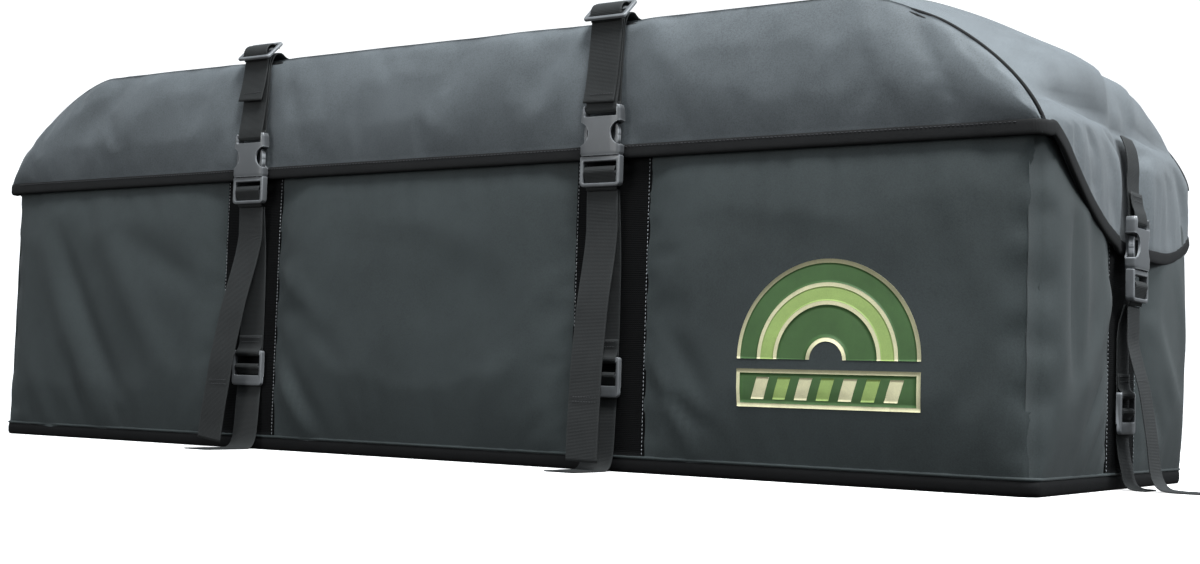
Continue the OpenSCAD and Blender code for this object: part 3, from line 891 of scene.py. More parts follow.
films = [film("print", arch_band(18 * mm, badge_half), 0.5 * mm, badge_cream),
         film("print", block(-badge_half, badge_half, badge_low.z, bar_top), 0.5 * mm, badge_cream),
         film("print", block(-badge_half + 4 * mm, badge_half - 4 * mm,
                             badge_low.z + 4 * mm, bar_top - 4 * mm),
              0.65 * mm, badge_green)]
for r0, r1, ink in ((76, 95, badge_green), (58, 72, badge_lime), (22, 54, badge_green)):
    films.append(film("print", arch_band(r0 * mm, r1 * mm), 0.65 * mm, ink))
for k in range(7):
    x0 = (-82 + 24 * k) * mm
    films.append(film("print", block(x0, x0 + 14 * mm, badge_low.z + 8 * mm, bar_top - 8 * mm, 0.3), 0.8 * mm,
                      badge_lime if k % 2 else badge_cream))
badge = join("badge_print", films)
fit(badge, "tub", "badge_print", "emblem_patch")
print("badge", round(2 * badge_half / mm), "mm wide")

# %% [markdown]
# ## The lid
# The shoulders follow a superellipse between an ellipse and a straight slope, which is what a
# gusset does when it is eased round a curve. One gusset runs over the top. Padding makes it
# crown by about 20 mm, and where it turns down at the ends it puckers into a crease above the flap.

# %% Arch line
shoulder_power = 1.5
ridge_half = 0.544
arch_h = ridge_z - edge_z
shoulder_a = lid_x - ridge_half
crease_z = edge_z + 34 * mm
gusset_front, gusset_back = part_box("lid_gusset")[0].y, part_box("lid_gusset")[1].y
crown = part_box("lid_gusset")[1].z - ridge_z


def arch_points(count, low=None):
    """Evenly spaced points along the arch, from the right end to the left one."""
    t = np.radians(np.linspace(90, 0, 200))
    x = ridge_half + shoulder_a * np.sin(t) ** (2 / shoulder_power)
    z = edge_z + arch_h * np.cos(t) ** (2 / shoulder_power)
    line = np.concatenate([np.stack([x, z], 1), np.stack([-x[::-1], z[::-1]], 1)])
    if low is not None:
        line = line[line[:, 1] >= low]
    run = length_along(line)
    at = np.linspace(0, run[-1], count)
    return np.stack([np.interp(at, run, line[:, 0]), np.interp(at, run, line[:, 1])], 1)


def arch_out(line):
    d = np.gradient(line, axis=0)
    return unit_rows(np.stack([d[:, 1], -d[:, 0]], 1))


def crown_swell(v):
    return crown * (1 - abs(2 * v - 1) ** 2.4)


def shoulder_x(z):
    """The arch's outer x at a height between the edge and the ridge."""
    up = min(max((z - edge_z) / arch_h, 0), 1)
    return ridge_half + shoulder_a * (1 - up ** shoulder_power) ** (1 / shoulder_power)


lid_folds = [
    (205, 478, 165, 395, 13, -6.5), (150, 480, 95, 420, 20, 4.5), (235, 470, 222, 400, 9, 3.4),
    (320, 470, 350, 420, 16, 3.6), (80, 482, 10, 400, 20, -3.6), (600, 470, 650, 400, 16, -4),
    (-500, 470, -600, 400, 20, -5), (-420, 475, -520, 400, 24, 4.2), (560, 455, 610, 380, 18, 3.4),
    (-60, 470, -140, 400, 26, 3.4), (-215, 470, -190, 400, 12, -3.6), (-340, 470, -380, 400, 14, -3.6),
]
strap_x = middle("front_right_socket").x


def near_strap(x):
    return max(0.0, 1 - max(0, abs(abs(x) - strap_x) - web_w / 2) / (38 * mm))


def lid_front_swell(x, z, top):
    """The cloth starts flat above its tape, swells, and rolls back at the seam."""
    low = edge_z + 12.5 * mm
    up = min(max((z - low) / max(top - low, 1e-6), 0), 1)
    body = 4.2 * mm * (1 - (1 - up) ** 12) + 4.2 * mm * math.sin(math.pi * up)
    waves = 3.6 * mm * ripple(x, z, 0.19, 12) + 1.5 * mm * ripple(x, z, 0.06, 13)
    waves *= max(0, 1 - (2 * up - 1) ** 6)
    creases = sum(fold(x, z, *f) for f in lid_folds)
    return (body + waves + creases) * (1 - 0.75 * ease(near_strap(x))) - 1.0 * mm * ease(near_strap(x))


# %% Front and back panels of the lid
def lid_panel(columns, rows, place):
    grid = []
    for x, top in arch_points(columns, edge_z + 8 * mm):
        tall = ease((top - edge_z) / (70 * mm))
        row = []
        for t in np.linspace(0, 1, rows):
            z = edge_z + 0.5 * mm + (top - edge_z - 0.5 * mm) * t
            roll = ease((t - 0.86) / 0.14)
            over = 4.0 * mm * ease((t - 0.72) / 0.2) * (1 - 0.8 * ease((t - 0.93) / 0.07))
            swell_out = lid_front_swell(x, z, top) * tall - 7 * mm * roll ** 2 * tall
            row.append(place(x, swell_out, z + over * tall))
        grid.append(row)
    return np.array(grid)


lid_front_grid = lid_panel(190, 34, lambda x, d, z: (x, -lid_y - d, z))
strap_pins = ((np.abs(np.abs(lid_front_grid[:, :, 0]) - strap_x) < web_w / 2)
              | (lid_front_grid[:, :, 2] < edge_z + 16 * mm)).astype(float)
lid_front_grid = settle(lid_front_grid, sewn_edges(*lid_front_grid.shape[:2], strap_pins),
                        (0, -2.5, 0.8), 0.004, cap=4 * mm)
lid_front = shell_from("lid_front_cloth", lid_front_grid, 4.5 * mm, lid_cloth_painted_light, (0, -1, 0))
fit(lid_front, "lid", "lid_fabric", "lid_front_panel", fill=0.6)

lid_back_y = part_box("lid_back_panel")[1].y
lid_back_grid = lid_panel(150, 22, lambda x, d, z: (x, lid_back_y + min(d, 5 * mm), z))
lid_back = shell_from("lid_back_cloth", lid_back_grid, 4.5 * mm, lid_cloth_painted_light, (0, 1, 0))
fit(lid_back, "lid", "lid_fabric", "lid_back_panel", fill=0.6)

# %% Gusset over the top
gusset_line = arch_points(240, crease_z)
gusset_out = arch_out(gusset_line)
if gusset_out[120, 1] < 0:
    gusset_out = -gusset_out


def side_of(v):
    """0 at the front and back seams, 1 between them."""
    return max(0.0, 1 - abs(2 * v - 1) ** 6)


def near_end_strap(y):
    return max(0.0, 1 - max(0, abs(y - end_y) - web_w / 2) / (34 * mm))


def puff(from_crease, v):
    """How far the cloth of an end stands out, above and below its crease."""
    y = gusset_front + v * (gusset_back - gusset_front)
    body = crown_swell(v) * ease((from_crease + 12 * mm) / (46 * mm))
    hump = 12 * mm * math.exp(-(((from_crease - 30 * mm) / (24 * mm)) ** 2)) * side_of(v)
    sharp = 7 if from_crease > 0 else 5
    tuck = -7 * mm * math.exp(-((from_crease / (sharp * mm)) ** 2)) * side_of(v)
    pressed = ease(near_end_strap(y)) * math.exp(-(((from_crease + 20 * mm) / (60 * mm)) ** 2))
    return (body + hump) * (1 - 0.45 * pressed) + tuck


def crease_at(v):
    """The crease dips towards the strap."""
    y = gusset_front + v * (gusset_back - gusset_front)
    return 9 * mm * (1 - min(1, abs(y - end_y) / (200 * mm))) - 5 * mm


def gusset_swell(x, z, v):
    from_crease = z - crease_z + crease_at(v)
    y = gusset_front + v * (gusset_back - gusset_front)
    slant = 5.0 * mm * ripple(x + 0.4 * y, z + 0.8 * y, 0.13, 21) * side_of(v)
    small = 2.0 * mm * ripple(x + z, y, 0.045, 22) * side_of(v) * ease(1 - (z - crease_z - 0.05) / 0.06)
    tops = 3.4 * mm * ripple(x, y, 0.22, 23) * side_of(v)
    calm = 1 - 0.6 * ease(near_strap(x)) * (z > ridge_z - 20 * mm) * (abs(x) < 0.4)
    rise = ease((z - crease_z) / (20 * mm))
    seam = math.exp(-((min(v, 1 - v) * 0.479 / (16 * mm)) ** 2)) * ease(v * 60) * ease((1 - v) * 60)
    tops += 1.5 * mm * seam * math.sin((x - z) / (9 * mm) + 2 * ripple(x, z, 0.06, 43))
    return (puff(from_crease, v) + (slant * ease(1.6 - (z - crease_z) / 0.07) + tops + small) * rise) * calm


# %% [markdown]
# ## End flaps
# Below the crease the gusset goes on as a tongue that hangs over the end wall, deepest a little
# behind the middle. It is the same piece of cloth. It bells outwards and curls in at its hem,
# and the strap presses it flat in the middle.

# %% Flaps and gusset as one cloth
flap_mid = 55 * mm


def flap_low(y):
    low = flap_z + 59 * mm * (abs(y - flap_mid) / (232 * mm)) ** 2.6
    return min(low, edge_z + 1 * mm)


def flap_x(y, z):
    v = (y - gusset_front) / (gusset_back - gusset_front)
    hang = lid_x if z < edge_z else shoulder_x(z)
    under = min(1.0, max(0.0, (crease_z - z) / (crease_z - flap_low(y))))
    loose = 1 - 0.93 * ease(near_end_strap(y))
    bell = 15 * mm * side_of(v) * math.sin(math.pi * under * 0.9) ** 0.8 * loose
    waves = 3.6 * mm * ripple(y, z, 0.09, 31) * side_of(v) * min(1, under * 4) * loose
    return hang + bell + puff(z - crease_z + crease_at(v), v) + waves


gusset_columns = 72
gusset_vs = np.linspace(0, 1, gusset_columns)
gusset_ys = gusset_front + gusset_vs * (gusset_back - gusset_front)
over_top = np.array([[(p[0] + n[0] * gusset_swell(p[0], p[1], v), y,
                       p[1] + n[1] * gusset_swell(p[0], p[1], v))
                      for v, y in zip(gusset_vs, gusset_ys)] for p, n in zip(gusset_line, gusset_out)])
right_flap = np.array([[(flap_x(y, z), y, z) for y, z in
                        ((y, flap_low(y) + (crease_z - flap_low(y)) * t) for y in gusset_ys)]
                       for t in np.linspace(0, 1, 34)[:-1]])
left_flap = right_flap[::-1] * np.array((-1, 1, 1))
gusset_grid = np.concatenate([right_flap, over_top, left_flap])
hems = np.zeros(gusset_grid.shape[:2])
hems[:4] = hems[-4:] = 1
gusset_grid = settle(gusset_grid, sewn_edges(*gusset_grid.shape[:2], hems), (0, 0, 5), 0.005, cap=6 * mm)
gusset = shell_from("lid_gusset_cloth", gusset_grid, 3.6 * mm, lid_cloth_painted_light, (0, 0, 1))
fit(gusset, "lid", "lid_fabric", "lid_gusset", "right_end_flap", "left_end_flap", fill=0.7)
print("gusset crown", round((gusset_grid[:, :, 2].max() - ridge_z) / mm, 1), "mm above the ridge")

# %% [markdown]
# ## Binding and piping of the lid
# One tape folds over the raw edge along the front and on down the two flaps. A row of stitches
# runs above it. Piping stands in the arched seams between the gusset and the two panels. Inside
# the lid each of these seams has its raw edges bound, which also backs the joint of the panels.

# %% Binding tape and piping
tape_h = 15 * mm
edge_pts = []
flap_ys = np.linspace(gusset_back, gusset_front + 16 * mm, 26)
for y in flap_ys:
    low = max(flap_low(y), flap_z) + tape_h * 0.38
    edge_pts.append((-flap_x(y, low) + 1.0 * mm, y, low))
edge_pts.append((-lid_x - 1 * mm, gusset_front + 6 * mm, edge_z + 5.6 * mm))
edge_pts.append((-lid_x + 6 * mm, -lid_y - 0.5 * mm, edge_z + 6 * mm))
front_run = np.linspace(-lid_x + 30 * mm, lid_x - 30 * mm, 60)


def front_edge(x):
    return -lid_y - 2.2 * mm - 1.4 * mm * ripple(x, 0.3, 0.2, 12) * (1 - ease(near_strap(x)))


edge_pts += [(x, front_edge(x), edge_z + 6.2 * mm) for x in front_run]
edge_pts += [(-x, y, z) for x, y, z in edge_pts[len(flap_ys) + 1:len(flap_ys) - 1:-1]]
edge_pts += [(-x, y, z) for x, y, z in edge_pts[len(flap_ys) - 1::-1]]
tape_path = curve_through(edge_pts, 5 * mm)
run_dir = unit_rows(np.gradient(tape_path, axis=0))
outward = np.stack([np.sign(tape_path[:, 0]) * (np.abs(tape_path[:, 0]) > lid_x - 10 * mm),
                    -1.0 * (tape_path[:, 1] < -lid_y + 10 * mm) - 1e-6, np.zeros(len(tape_path))], 1)
for _ in range(3):
    outward[1:-1] = (outward[:-2] + 2 * outward[1:-1] + outward[2:]) / 4
outward = unit_rows(outward)
tape = sweep("lid_binding_tape", tape_path, np.cross(outward, run_dir),
             section(tape_h / 2, 2.9 * mm, 3.4, 18), binding_tape)
fit(tape, "lid", "binding", "lid_binding")

tape_row = [p + o * 3.0 * mm + np.array((0, 0, 4.6 * mm)) for p, o in zip(tape_path, outward)
            if abs(p[0]) < lid_x - 20 * mm]
edge_rows = join("lid_edge_stitches", [stitches("row", tape_row, (0, -1, 0), 3 * mm, 4.6 * mm, 0.4 * mm)])
fit(edge_rows, "lid", "binding")

pipe_line = arch_points(260)
pipe_round = section(1.9 * mm, 1.9 * mm, 2, 12)


def pipe_up(z):
    """Hidden behind the panel's roll along the ridge, and proud on the shoulders."""
    return (1.6 - 4.8 * ease((z - ridge_z + 40 * mm) / (40 * mm))) * mm


def arch_sweep(path, outline):
    return sweep("row", path, (0, 1, 0), outline, binding_tape)


front_pipe = arch_sweep([(x, gusset_front + 1.4 * mm, z + pipe_up(z)) for x, z in pipe_line], pipe_round)
back_pipe = arch_sweep([(x, gusset_back - 1.2 * mm, z + 1.2 * mm) for x, z in pipe_line], pipe_round)
pipe_out = arch_out(pipe_line)
pipe_out = pipe_out if pipe_out[130, 1] > 0 else -pipe_out
seam_depth, seam_in = 4.4 * mm, 2.6 * mm
seam_section = section(4.8 * mm, 1.9 * mm, 2.6, 14)
bound_seams = [arch_sweep([(p[0] - seam_depth * n[0], y, p[1] - seam_depth * n[1])
                           for p, n in zip(pipe_line, pipe_out)], seam_section)
               for y in (gusset_front + seam_in, gusset_back - seam_in)]
piping = join("lid_piping_cord", [front_pipe, back_pipe, *bound_seams])
fit(piping, "lid", "binding", "lid_piping")

# %% [markdown]
# ## Stations
# Four buckle stations share the same hardware. Each piece is modelled once in a station's own
# axes, x across, y into the wall and z up, and is then placed at each station on its own body.

# %% Station frames
stations = {
    "front_left": Matrix.Translation((-strap_x, -half_w, 0)),
    "front_right": Matrix.Translation((strap_x, -half_w, 0)),
    "left_end": Matrix.Translation((-half_l, end_y, 0)) @ Matrix.Rotation(-math.pi / 2, 4, "Z"),
    "right_end": Matrix.Translation((half_l, end_y, 0)) @ Matrix.Rotation(math.pi / 2, 4, "Z"),
}


def mouth_of(name):
    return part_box(name + "_socket")[0].z - 0.3 * mm


def lock_of(name):
    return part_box(name + "_ladder_lock")[0].z + 23 * mm


core, hold_in = 17.5 * mm, 7.5 * mm
buckle_half, buckle_t, socket_h, plug_h = 25.5 * mm, 14 * mm, 54 * mm, 33 * mm


def ribbon(name, profile, centre=0.0, lean=None, width=None, wave=0.0):
    """Webbing that follows a side view of (depth, height). lean gives the sideways shift."""
    points = [(centre, -d, z) for d, z in profile]
    line = curve_through(points, 3 * mm)
    if lean:
        line[:, 0] += [lean(z) for z in line[:, 2]]
    if wave:
        line[:, 1] += [wave * ripple(z, 0.1, 0.06, 51 + len(name)) * ease(i / 12) * ease((len(line) - i) / 12)
                       for i, z in enumerate(line[:, 2])]
    return strap(name, line, (1, 0, 0), width=width)


def side_view(base, *points):
    """Points of a strap's side view: depth in mm, and height in mm above base."""
    return [(d * mm, base + z * mm) for d, z in points]


def round_bar(depth, z, r, turn0, turn1, steps=8):
    """Points on an arc round a bar, in side view. 0 is out of the wall and 90 is up."""
    return [(depth + r * math.cos(math.radians(a)), z + r * math.sin(math.radians(a)))
            for a in np.linspace(turn0, turn1, steps)]


def place_at(made, name, body, slot_name, *nodes):
    made.data.transform(stations[name])
    made.data.update()
    return fit(made, body, slot_name, *nodes)


# %% [markdown]
# ## Moulded shapes
# A moulding is an outline with rounded corners, thickened, with a small radius on every edge
# where the tool meets. Holes are cut by exact booleans, so that the shells stay closed.

# %% Moulding helpers
def outline_of(points, radii):
    """Round each corner of a polygon, given in mm, by its own radius or by one for all."""
    n = len(points)
    points = [(x * mm, z * mm) for x, z in points]
    radii = [r * mm for r in (radii if isinstance(radii, list) else [radii] * n)]
    out = []
    for i, (p, r) in enumerate(zip(points, radii)):
        a, b, c = (Vector(points[(i + k) % n]) for k in (-1, 0, 1))
        u, v = (a - b).normalized(), (c - b).normalized()
        angle = u.angle(v)
        if r <= 0 or angle > math.radians(178):
            out.append(tuple(b))
            continue
        reach = min(r / math.tan(angle / 2), 0.48 * min((a - b).length, (c - b).length))
        start, end = b + u * reach, b + v * reach
        for t in np.linspace(0, 1, 7):
            out.append(tuple(start * (1 - t) ** 2 + b * 2 * t * (1 - t) + end * t ** 2))
    return out


def moulding(name, outlines, thick, edge=0.7 * mm, depth=0.0):
    """Outlines in (x, z), the first outside and the rest holes, centred at a depth."""
    curve = bpy.data.curves.new(name, "CURVE")
    curve.dimensions, curve.fill_mode = "2D", "BOTH"
    curve.extrude, curve.bevel_depth, curve.bevel_resolution, curve.offset = thick / 2 - edge, edge, 2, -edge
    for points in outlines:
        spline = curve.splines.new("POLY")
        spline.points.add(len(points) - 1)
        for spot, p in zip(spline.points, points):
            spot.co = (p[0], p[1], 0, 1)
        spline.use_cyclic_u = True
    held = bpy.data.objects.new(name, curve)
    bpy.context.scene.collection.objects.link(held)
    mesh = bpy.data.meshes.new_from_object(held.evaluated_get(bpy.context.evaluated_depsgraph_get()))
    bpy.data.objects.remove(held)
    mesh.name = name
    made = bpy.data.objects.new(name, mesh)
    bpy.context.scene.collection.objects.link(made)
    mesh.transform(Matrix.Translation((0, -depth, 0)) @ Matrix.Rotation(math.pi / 2, 4, "X"))
    tidy(made)
    return made


def tidy(made, angle=38):
    """Weld, face outwards, shade by angle, and leave one plastic finish."""
    work = bmesh.new()
    work.from_mesh(made.data)
    bmesh.ops.remove_doubles(work, verts=work.verts, dist=1e-5)
    bmesh.ops.recalc_face_normals(work, faces=work.faces)
    work.to_mesh(made.data)
    work.free()
    made.data.materials.clear()
    made.data.materials.append(buckle_plastic)
    made.data.polygons.foreach_set("material_index", [0] * len(made.data.polygons))
    made.data.shade_smooth()
    made.data.set_sharp_from_angle(angle=math.radians(angle))
    return made


def combine(made, other, operation):
    step = made.modifiers.new("step", "BOOLEAN")
    step.operation, step.object, step.solver = operation, other, "EXACT"
    mesh = bpy.data.meshes.new_from_object(made.evaluated_get(bpy.context.evaluated_depsgraph_get()))
    made.modifiers.clear()
    old, made.data = made.data, mesh
    bpy.data.meshes.remove(old)
    bpy.data.objects.remove(other)
    return tidy(made)


def cutter(half, z0, z1, d0, d1, radius=1.5):
    """A rounded block for cutting. Its half width, heights and radius are in mm."""
    return moulding("cut", [outline_of(box_of(half, z0, z1), radius)], d1 - d0, 0.05 * mm, (d0 + d1) / 2)


def box_of(half, z0, z1):
    return [(-half, z0), (half, z0), (half, z1), (-half, z1)]


def cut_away(made, other):
    return combine(made, other, "DIFFERENCE")


def fuse(made, other):
    return combine(made, other, "UNION")


def rod(name, depth, z, r, half):
    path = [(x, -depth, z) for x in np.linspace(-half, half, 9)]
    return tidy(sweep(name, path, (0, 0, 1), section(r, r, 2, 16), buckle_plastic))


def ring_loft(name, rings):
    """Rings of (centre, half width, half thickness, power) stacked up z, with closed ends."""
    verts, faces, count = [], [], 40
    for z, half_x, half_y, power, centre in rings:
        for a, b in section(half_x, half_y, power, count):
            verts.append((a, -centre + b, z))
    for i in range(len(rings) - 1):
        faces += ring_faces(i * count, (i + 1) * count, count)
    last = (len(rings) - 1) * count
    faces += [tuple(range(count))[::-1], tuple(last + j for j in range(count))]
    return tidy(new_object(name, verts, faces, buckle_plastic))


# %% [markdown]
# ## The buckle
# The socket is a crowned shell. Its sides are waisted so that finger and thumb reach the two
# release pads. Two horns at the top carry the bar for the webbing. The plug has a tongue that
# guides it, two springy arms, and a frame whose middle bar grips the adjustable strap.

# %% Socket
def build_socket():
    rings = []
    for t in np.linspace(0, 1, 35):
        z = 0.3 * mm + (socket_h - 0.3 * mm) * t
        up = z / mm
        lip = 1 - 0.05 * (1 - ease(t * 18)) - 0.06 * ease((t - 0.94) / 0.06)
        bulge = 1 + 0.10 * math.sin(math.pi * min(1, up / 44))
        rings.append((z, (buckle_half - 0.9 * mm * ease((up - 40) / 14)) * lip,
                      buckle_t / 2 * lip * bulge * 0.97,
                      5.5, core))
    made = ring_loft("socket", rings)
    made = cut_away(made, cutter(22, -4, 38, core - 5 * mm, core + 5 * mm))
    for s in (-1, 1):
        x = s * (buckle_half + 3 * mm)
        bite = [(x + 14.6 * mm * math.cos(a), 24 * mm + 13.5 * mm * math.sin(a))
                for a in np.linspace(0, 2 * math.pi, 32, endpoint=False)]
        made = cut_away(made, moulding("cut", [bite], 20 * mm, 0.05 * mm, core))
    made = cut_away(made, cutter(20.8, 42, 60, core - 9 * mm, core + 9 * mm))
    return fuse(made, rod("bar", core, 50 * mm, 2.4 * mm, 22 * mm))


def build_plug():
    frame = [(-25.5, 0), (-25.5, -33), (25.5, -33), (25.5, 0)]
    window = [(-20.9, -6), (-20.9, -29), (20.9, -29), (20.9, -6)]
    made = moulding("plug", [outline_of(frame, [1.5, 6, 6, 1.5]), outline_of(window, 1.6)],
                    9 * mm, 1.3 * mm, core)
    made = cut_away(made, cutter(20.9, -38, -26, 6 * mm, core - 1.6 * mm, 0.4))
    made = fuse(made, rod("bar", core, -18.5 * mm, 2.4 * mm, 22.4 * mm))
    tongue = outline_of([(-7, -2), (7, -2), (7, 28), (3, 31), (-3, 31), (-7, 28)], [0, 0, 2, 1, 1, 2])
    return fuse(made, moulding("tongue", [tongue], 6 * mm, 0.8 * mm, core))


def build_arm():
    shape = [(12.4, 0.6), (17.6, 0.6), (21.8, 15), (22.2, 22), (21.8, 30), (19.8, 34), (17.6, 34), (18.0, 22)]
    made = moulding("arm", [outline_of(shape, [2.2, 2, 5, 6, 2.5, 1.2, 1.5, 4])], 6 * mm, 0.9 * mm, core)
    for k in range(4):
        groove = [(21.4 * mm, (18.2 + 3.2 * k) * mm), (24 * mm, (17.9 + 3.2 * k) * mm),
                  (24 * mm, (19.1 + 3.2 * k) * mm)]
        made = cut_away(made, moulding("cut", [groove], 9 * mm, 0.02 * mm, core))
    return made


def build_lock():
    frame = [(-25, 20), (-25, -23), (25, -23), (25, 20)]
    window = [(-20.8, 14), (-20.8, -10.5), (20.8, -10.5), (20.8, 14)]
    made = moulding("lock", [outline_of(frame, [3.5, 6, 6, 3.5]), outline_of(window, 1.5)],
                    6 * mm, 1.1 * mm, hold_in)
    made = cut_away(made, cutter(20.8, 12, 30, 0, 16 * mm, 0.4))
    made = cut_away(made, cutter(30, -30, -12, -2 * mm, 6 * mm, 0.4))
    for z in (0, 17 * mm):
        made = fuse(made, rod("bar", hold_in, z, 2.2 * mm, 22.2 * mm))
    return made


def build_glide():
    slots = [outline_of(box_of(22, 7.5 * s - 4.8, 7.5 * s + 4.8), 1.6) for s in (-1, 1)]
    return moulding("glide", [outline_of(box_of(27, -17, 17), 5), *slots], 4 * mm, 1.4 * mm)


shapes = {"socket": build_socket(), "plug": build_plug(), "arm": build_arm(), "lock": build_lock()}
for kind, shape in shapes.items():
    print(kind, len(shape.data.polygons), "faces", [round(c / mm, 1) for c in shape.dimensions])


# %% [markdown]
# ## Mouldings in place
# One mesh of each kind serves every station, and each copy rides on its own body, so the plug
# still slides, the arms still squeeze and the ladder lock still tips.

# %% Place the mouldings
def copy_to(kind, name, z, body, node, mirror=False):
    made = bpy.data.objects.new(node + "_moulding", shapes[kind].data.copy())
    bpy.context.scene.collection.objects.link(made)
    turn = Matrix.Scale(-1, 4, (1, 0, 0)) if mirror else Matrix()
    made.data.transform(stations[name] @ Matrix.Translation((0, 0, z)) @ turn)
    if mirror:
        made.data.flip_normals()
    fit(made, body, "buckle_plastic", node)


for name in stations:
    copy_to("socket", name, mouth_of(name), "lid", name + "_socket")
    copy_to("plug", name, mouth_of(name), name + "_plug", name + "_plug")
    copy_to("arm", name, mouth_of(name), name + "_arm_a", name + "_arm_a", True)
    copy_to("arm", name, mouth_of(name), name + "_arm_b", name + "_arm_b")
    copy_to("lock", name, lock_of(name), name + "_ladder_lock", name + "_ladder_lock")
for shape in shapes.values():
    bpy.data.objects.remove(shape)

# %% [markdown]
# ## Lower webbing
# The anchored run is sewn round the ladder lock's top bar and climbs to the back of the plug.
# There it turns over the middle bar and comes down in front as the free tail, with a hemmed
# end. The tie strap leaves the ladder lock's lower bar and lies on the ground.


# %% Lower straps
def hem(name, x, d, z, lean=0.0, rows=1, half=None):
    """A short cross row of stitches on a strap's outer face."""
    half = half or web_w * 0.4
    out = []
    for k in range(rows):
        line = [(x + u * half, -d - web_t * 0.62, z - 5 * mm * k + u * half * lean)
                for u in np.linspace(-1, 1, 14)]
        out.append(stitches(name, line, (0, -1, 0), 2.4 * mm, 3.4 * mm, 0.34 * mm, dark_thread))
    return out


def depth_at(profile, z):
    order = sorted((p[1], p[0]) for p in profile)
    return float(np.interp(z, [p[0] for p in order], [p[1] for p in order]))


for name in stations:
    mouth, lock, body = mouth_of(name), lock_of(name), name + "_plug"
    front = name.startswith("front")
    hold = lock + 17 * mm
    top = mouth - plug_h - 3 * mm

    def wall(z):
        return front_swell(stations[name].translation.x, z) if front else end_swell(end_y, z)

    half_way = (hold + 50 * mm + top) / 2
    back = side_view(hold, (4.1, -1), (3.8, 9), (2.8, 17), (2.7, 50)) + [(5 * mm, half_way), (11.2 * mm, top)]
    fold_back = [*side_view(hold, (4.9, 22), (5.0, 12), (6.4, 6)),
                 *round_bar(hold_in, hold, 3.3 * mm, 60, -170, 12)]
    back = [(max(d, wall(z) + 2.9 * mm), z) for d, z in back]
    parts = [ribbon("run", back), ribbon("fold", fold_back, width=web_w - 0.6 * mm)]
    parts += hem("sew", 0, 5.2 * mm, hold + 19 * mm, rows=2)
    anchor = join(name + "_anchor_webbing", parts)
    place_at(anchor, name, "tub", "webbing", *(("anchor_straps",) if name == "front_left" else ()))

    roll = [*side_view(mouth, (11.6, -25), (12.4, -19)),
            *round_bar(core, mouth - 16.5 * mm, 5.0 * mm, 165, -25, 12),
            *side_view(mouth, (20.2, -23), (17.4, -30), (16.1, -36.6))]
    place_at(ribbon(name + "_plug_webbing", roll, width=web_w - 0.4 * mm), name, body, "webbing")

    if front:
        drop = side_view(0, (14.1, 299), (14.1, 276), (14.3, 252), (18, 218), (26, 165), (31.5, 110),
                         (33.6, 60), (33.8, 30), (33.6, 10))
        turn = 262 * mm
        slope = math.tan(math.radians(8)) if name == "front_left" else math.tan(math.radians(0.8))

        def shift(z):
            """The tail leans aside, from a soft bend below the plug's travel."""
            return -slope * max(0.0, turn - z) - 0.004 * slope * ease((turn + 0.02 - z) / 0.04)

        hem_z = 84 * mm if name == "front_left" else 78 * mm
    else:
        drop = side_view(0, (14.1, 189), (14.1, 168), (14.3, 150), (19, 130), (27, 100),
                         (33.6, 60), (37.6, 27),
                         (41, 12), (48, 3.4), (60, 1.3), (86, 1.1), (110, 1.1))
        shift = lambda z: 0.0
        hem_z = 112 * mm
    tail = ribbon("tail", drop, lean=shift, wave=1.6 * mm if front else 0.8 * mm)
    sewn = hem("sew", shift(hem_z), depth_at(drop, hem_z) + 0.3 * mm, hem_z, rows=2)
    place_at(join(name + "_tail_webbing", [tail, *sewn]), name, "tub", "webbing", name + "_lower_tail")

    reach = {"front_left": 60, "front_right": 50}.get(name, 6) * mm
    ends = side_view(0, (9, 22), (11.6, 10), (15, 4.4), (20, 1.8), (28, 1.1))
    tie = side_view(lock, (4.1, 1), (4.1, -24), (6, -44)) + ends + [(28 * mm + reach, 1.1 * mm)]
    place_at(ribbon(name + "_tie_webbing", tie, lean=lambda z: 0.5 * mm * math.sin(z * 60),
                    width=web_w - 0.1 * mm), name, "tub", "webbing", name + "_tie_strap")
    lower = [(4.6 * mm, lock - 9 * mm), *round_bar(hold_in, lock, 3.3 * mm, 200, -60, 12),
             *side_view(lock, (7.2, -5.4), (5.2, -9.4))]
    place_at(ribbon(name + "_lock_webbing", lower, width=web_w - 0.8 * mm),
             name, name + "_ladder_lock", "webbing")

# %% [markdown]
# ## Upper webbing
# On the front, one long strap runs from the back of the lid over the crown to each socket. It
# turns round the socket's bar, climbs to the tri-glide on the ridge, and its free end hangs
# down in front. On the ends a short strap comes out of the flap's crease, is turned round the
# bar and sewn to itself.

# %% Upper straps
ridge_run = side_view(0, (14.1, 385), (13.2, 410), (11.6, 440), (10.6, 462),
                      (9.0, 478), (3, 489.5), (-7, 493))
back_run = side_view(0, (-481, 488), (-486.5, 478), (-487.5, 466), (-487, 440), (-486.5, 400), (-486.2, 362))
crown_d = [-20, -45, -75, -110, -150, -190, -230, -270, -310, -350, -390, -425, -452, -470]


def over_crown(d):
    v = (-d * mm - (half_w + gusset_front) * -1) / (gusset_back - gusset_front)
    v = min(max(v, 0), 1)
    return ridge_z / mm + 2.6 + crown_swell(v) / mm


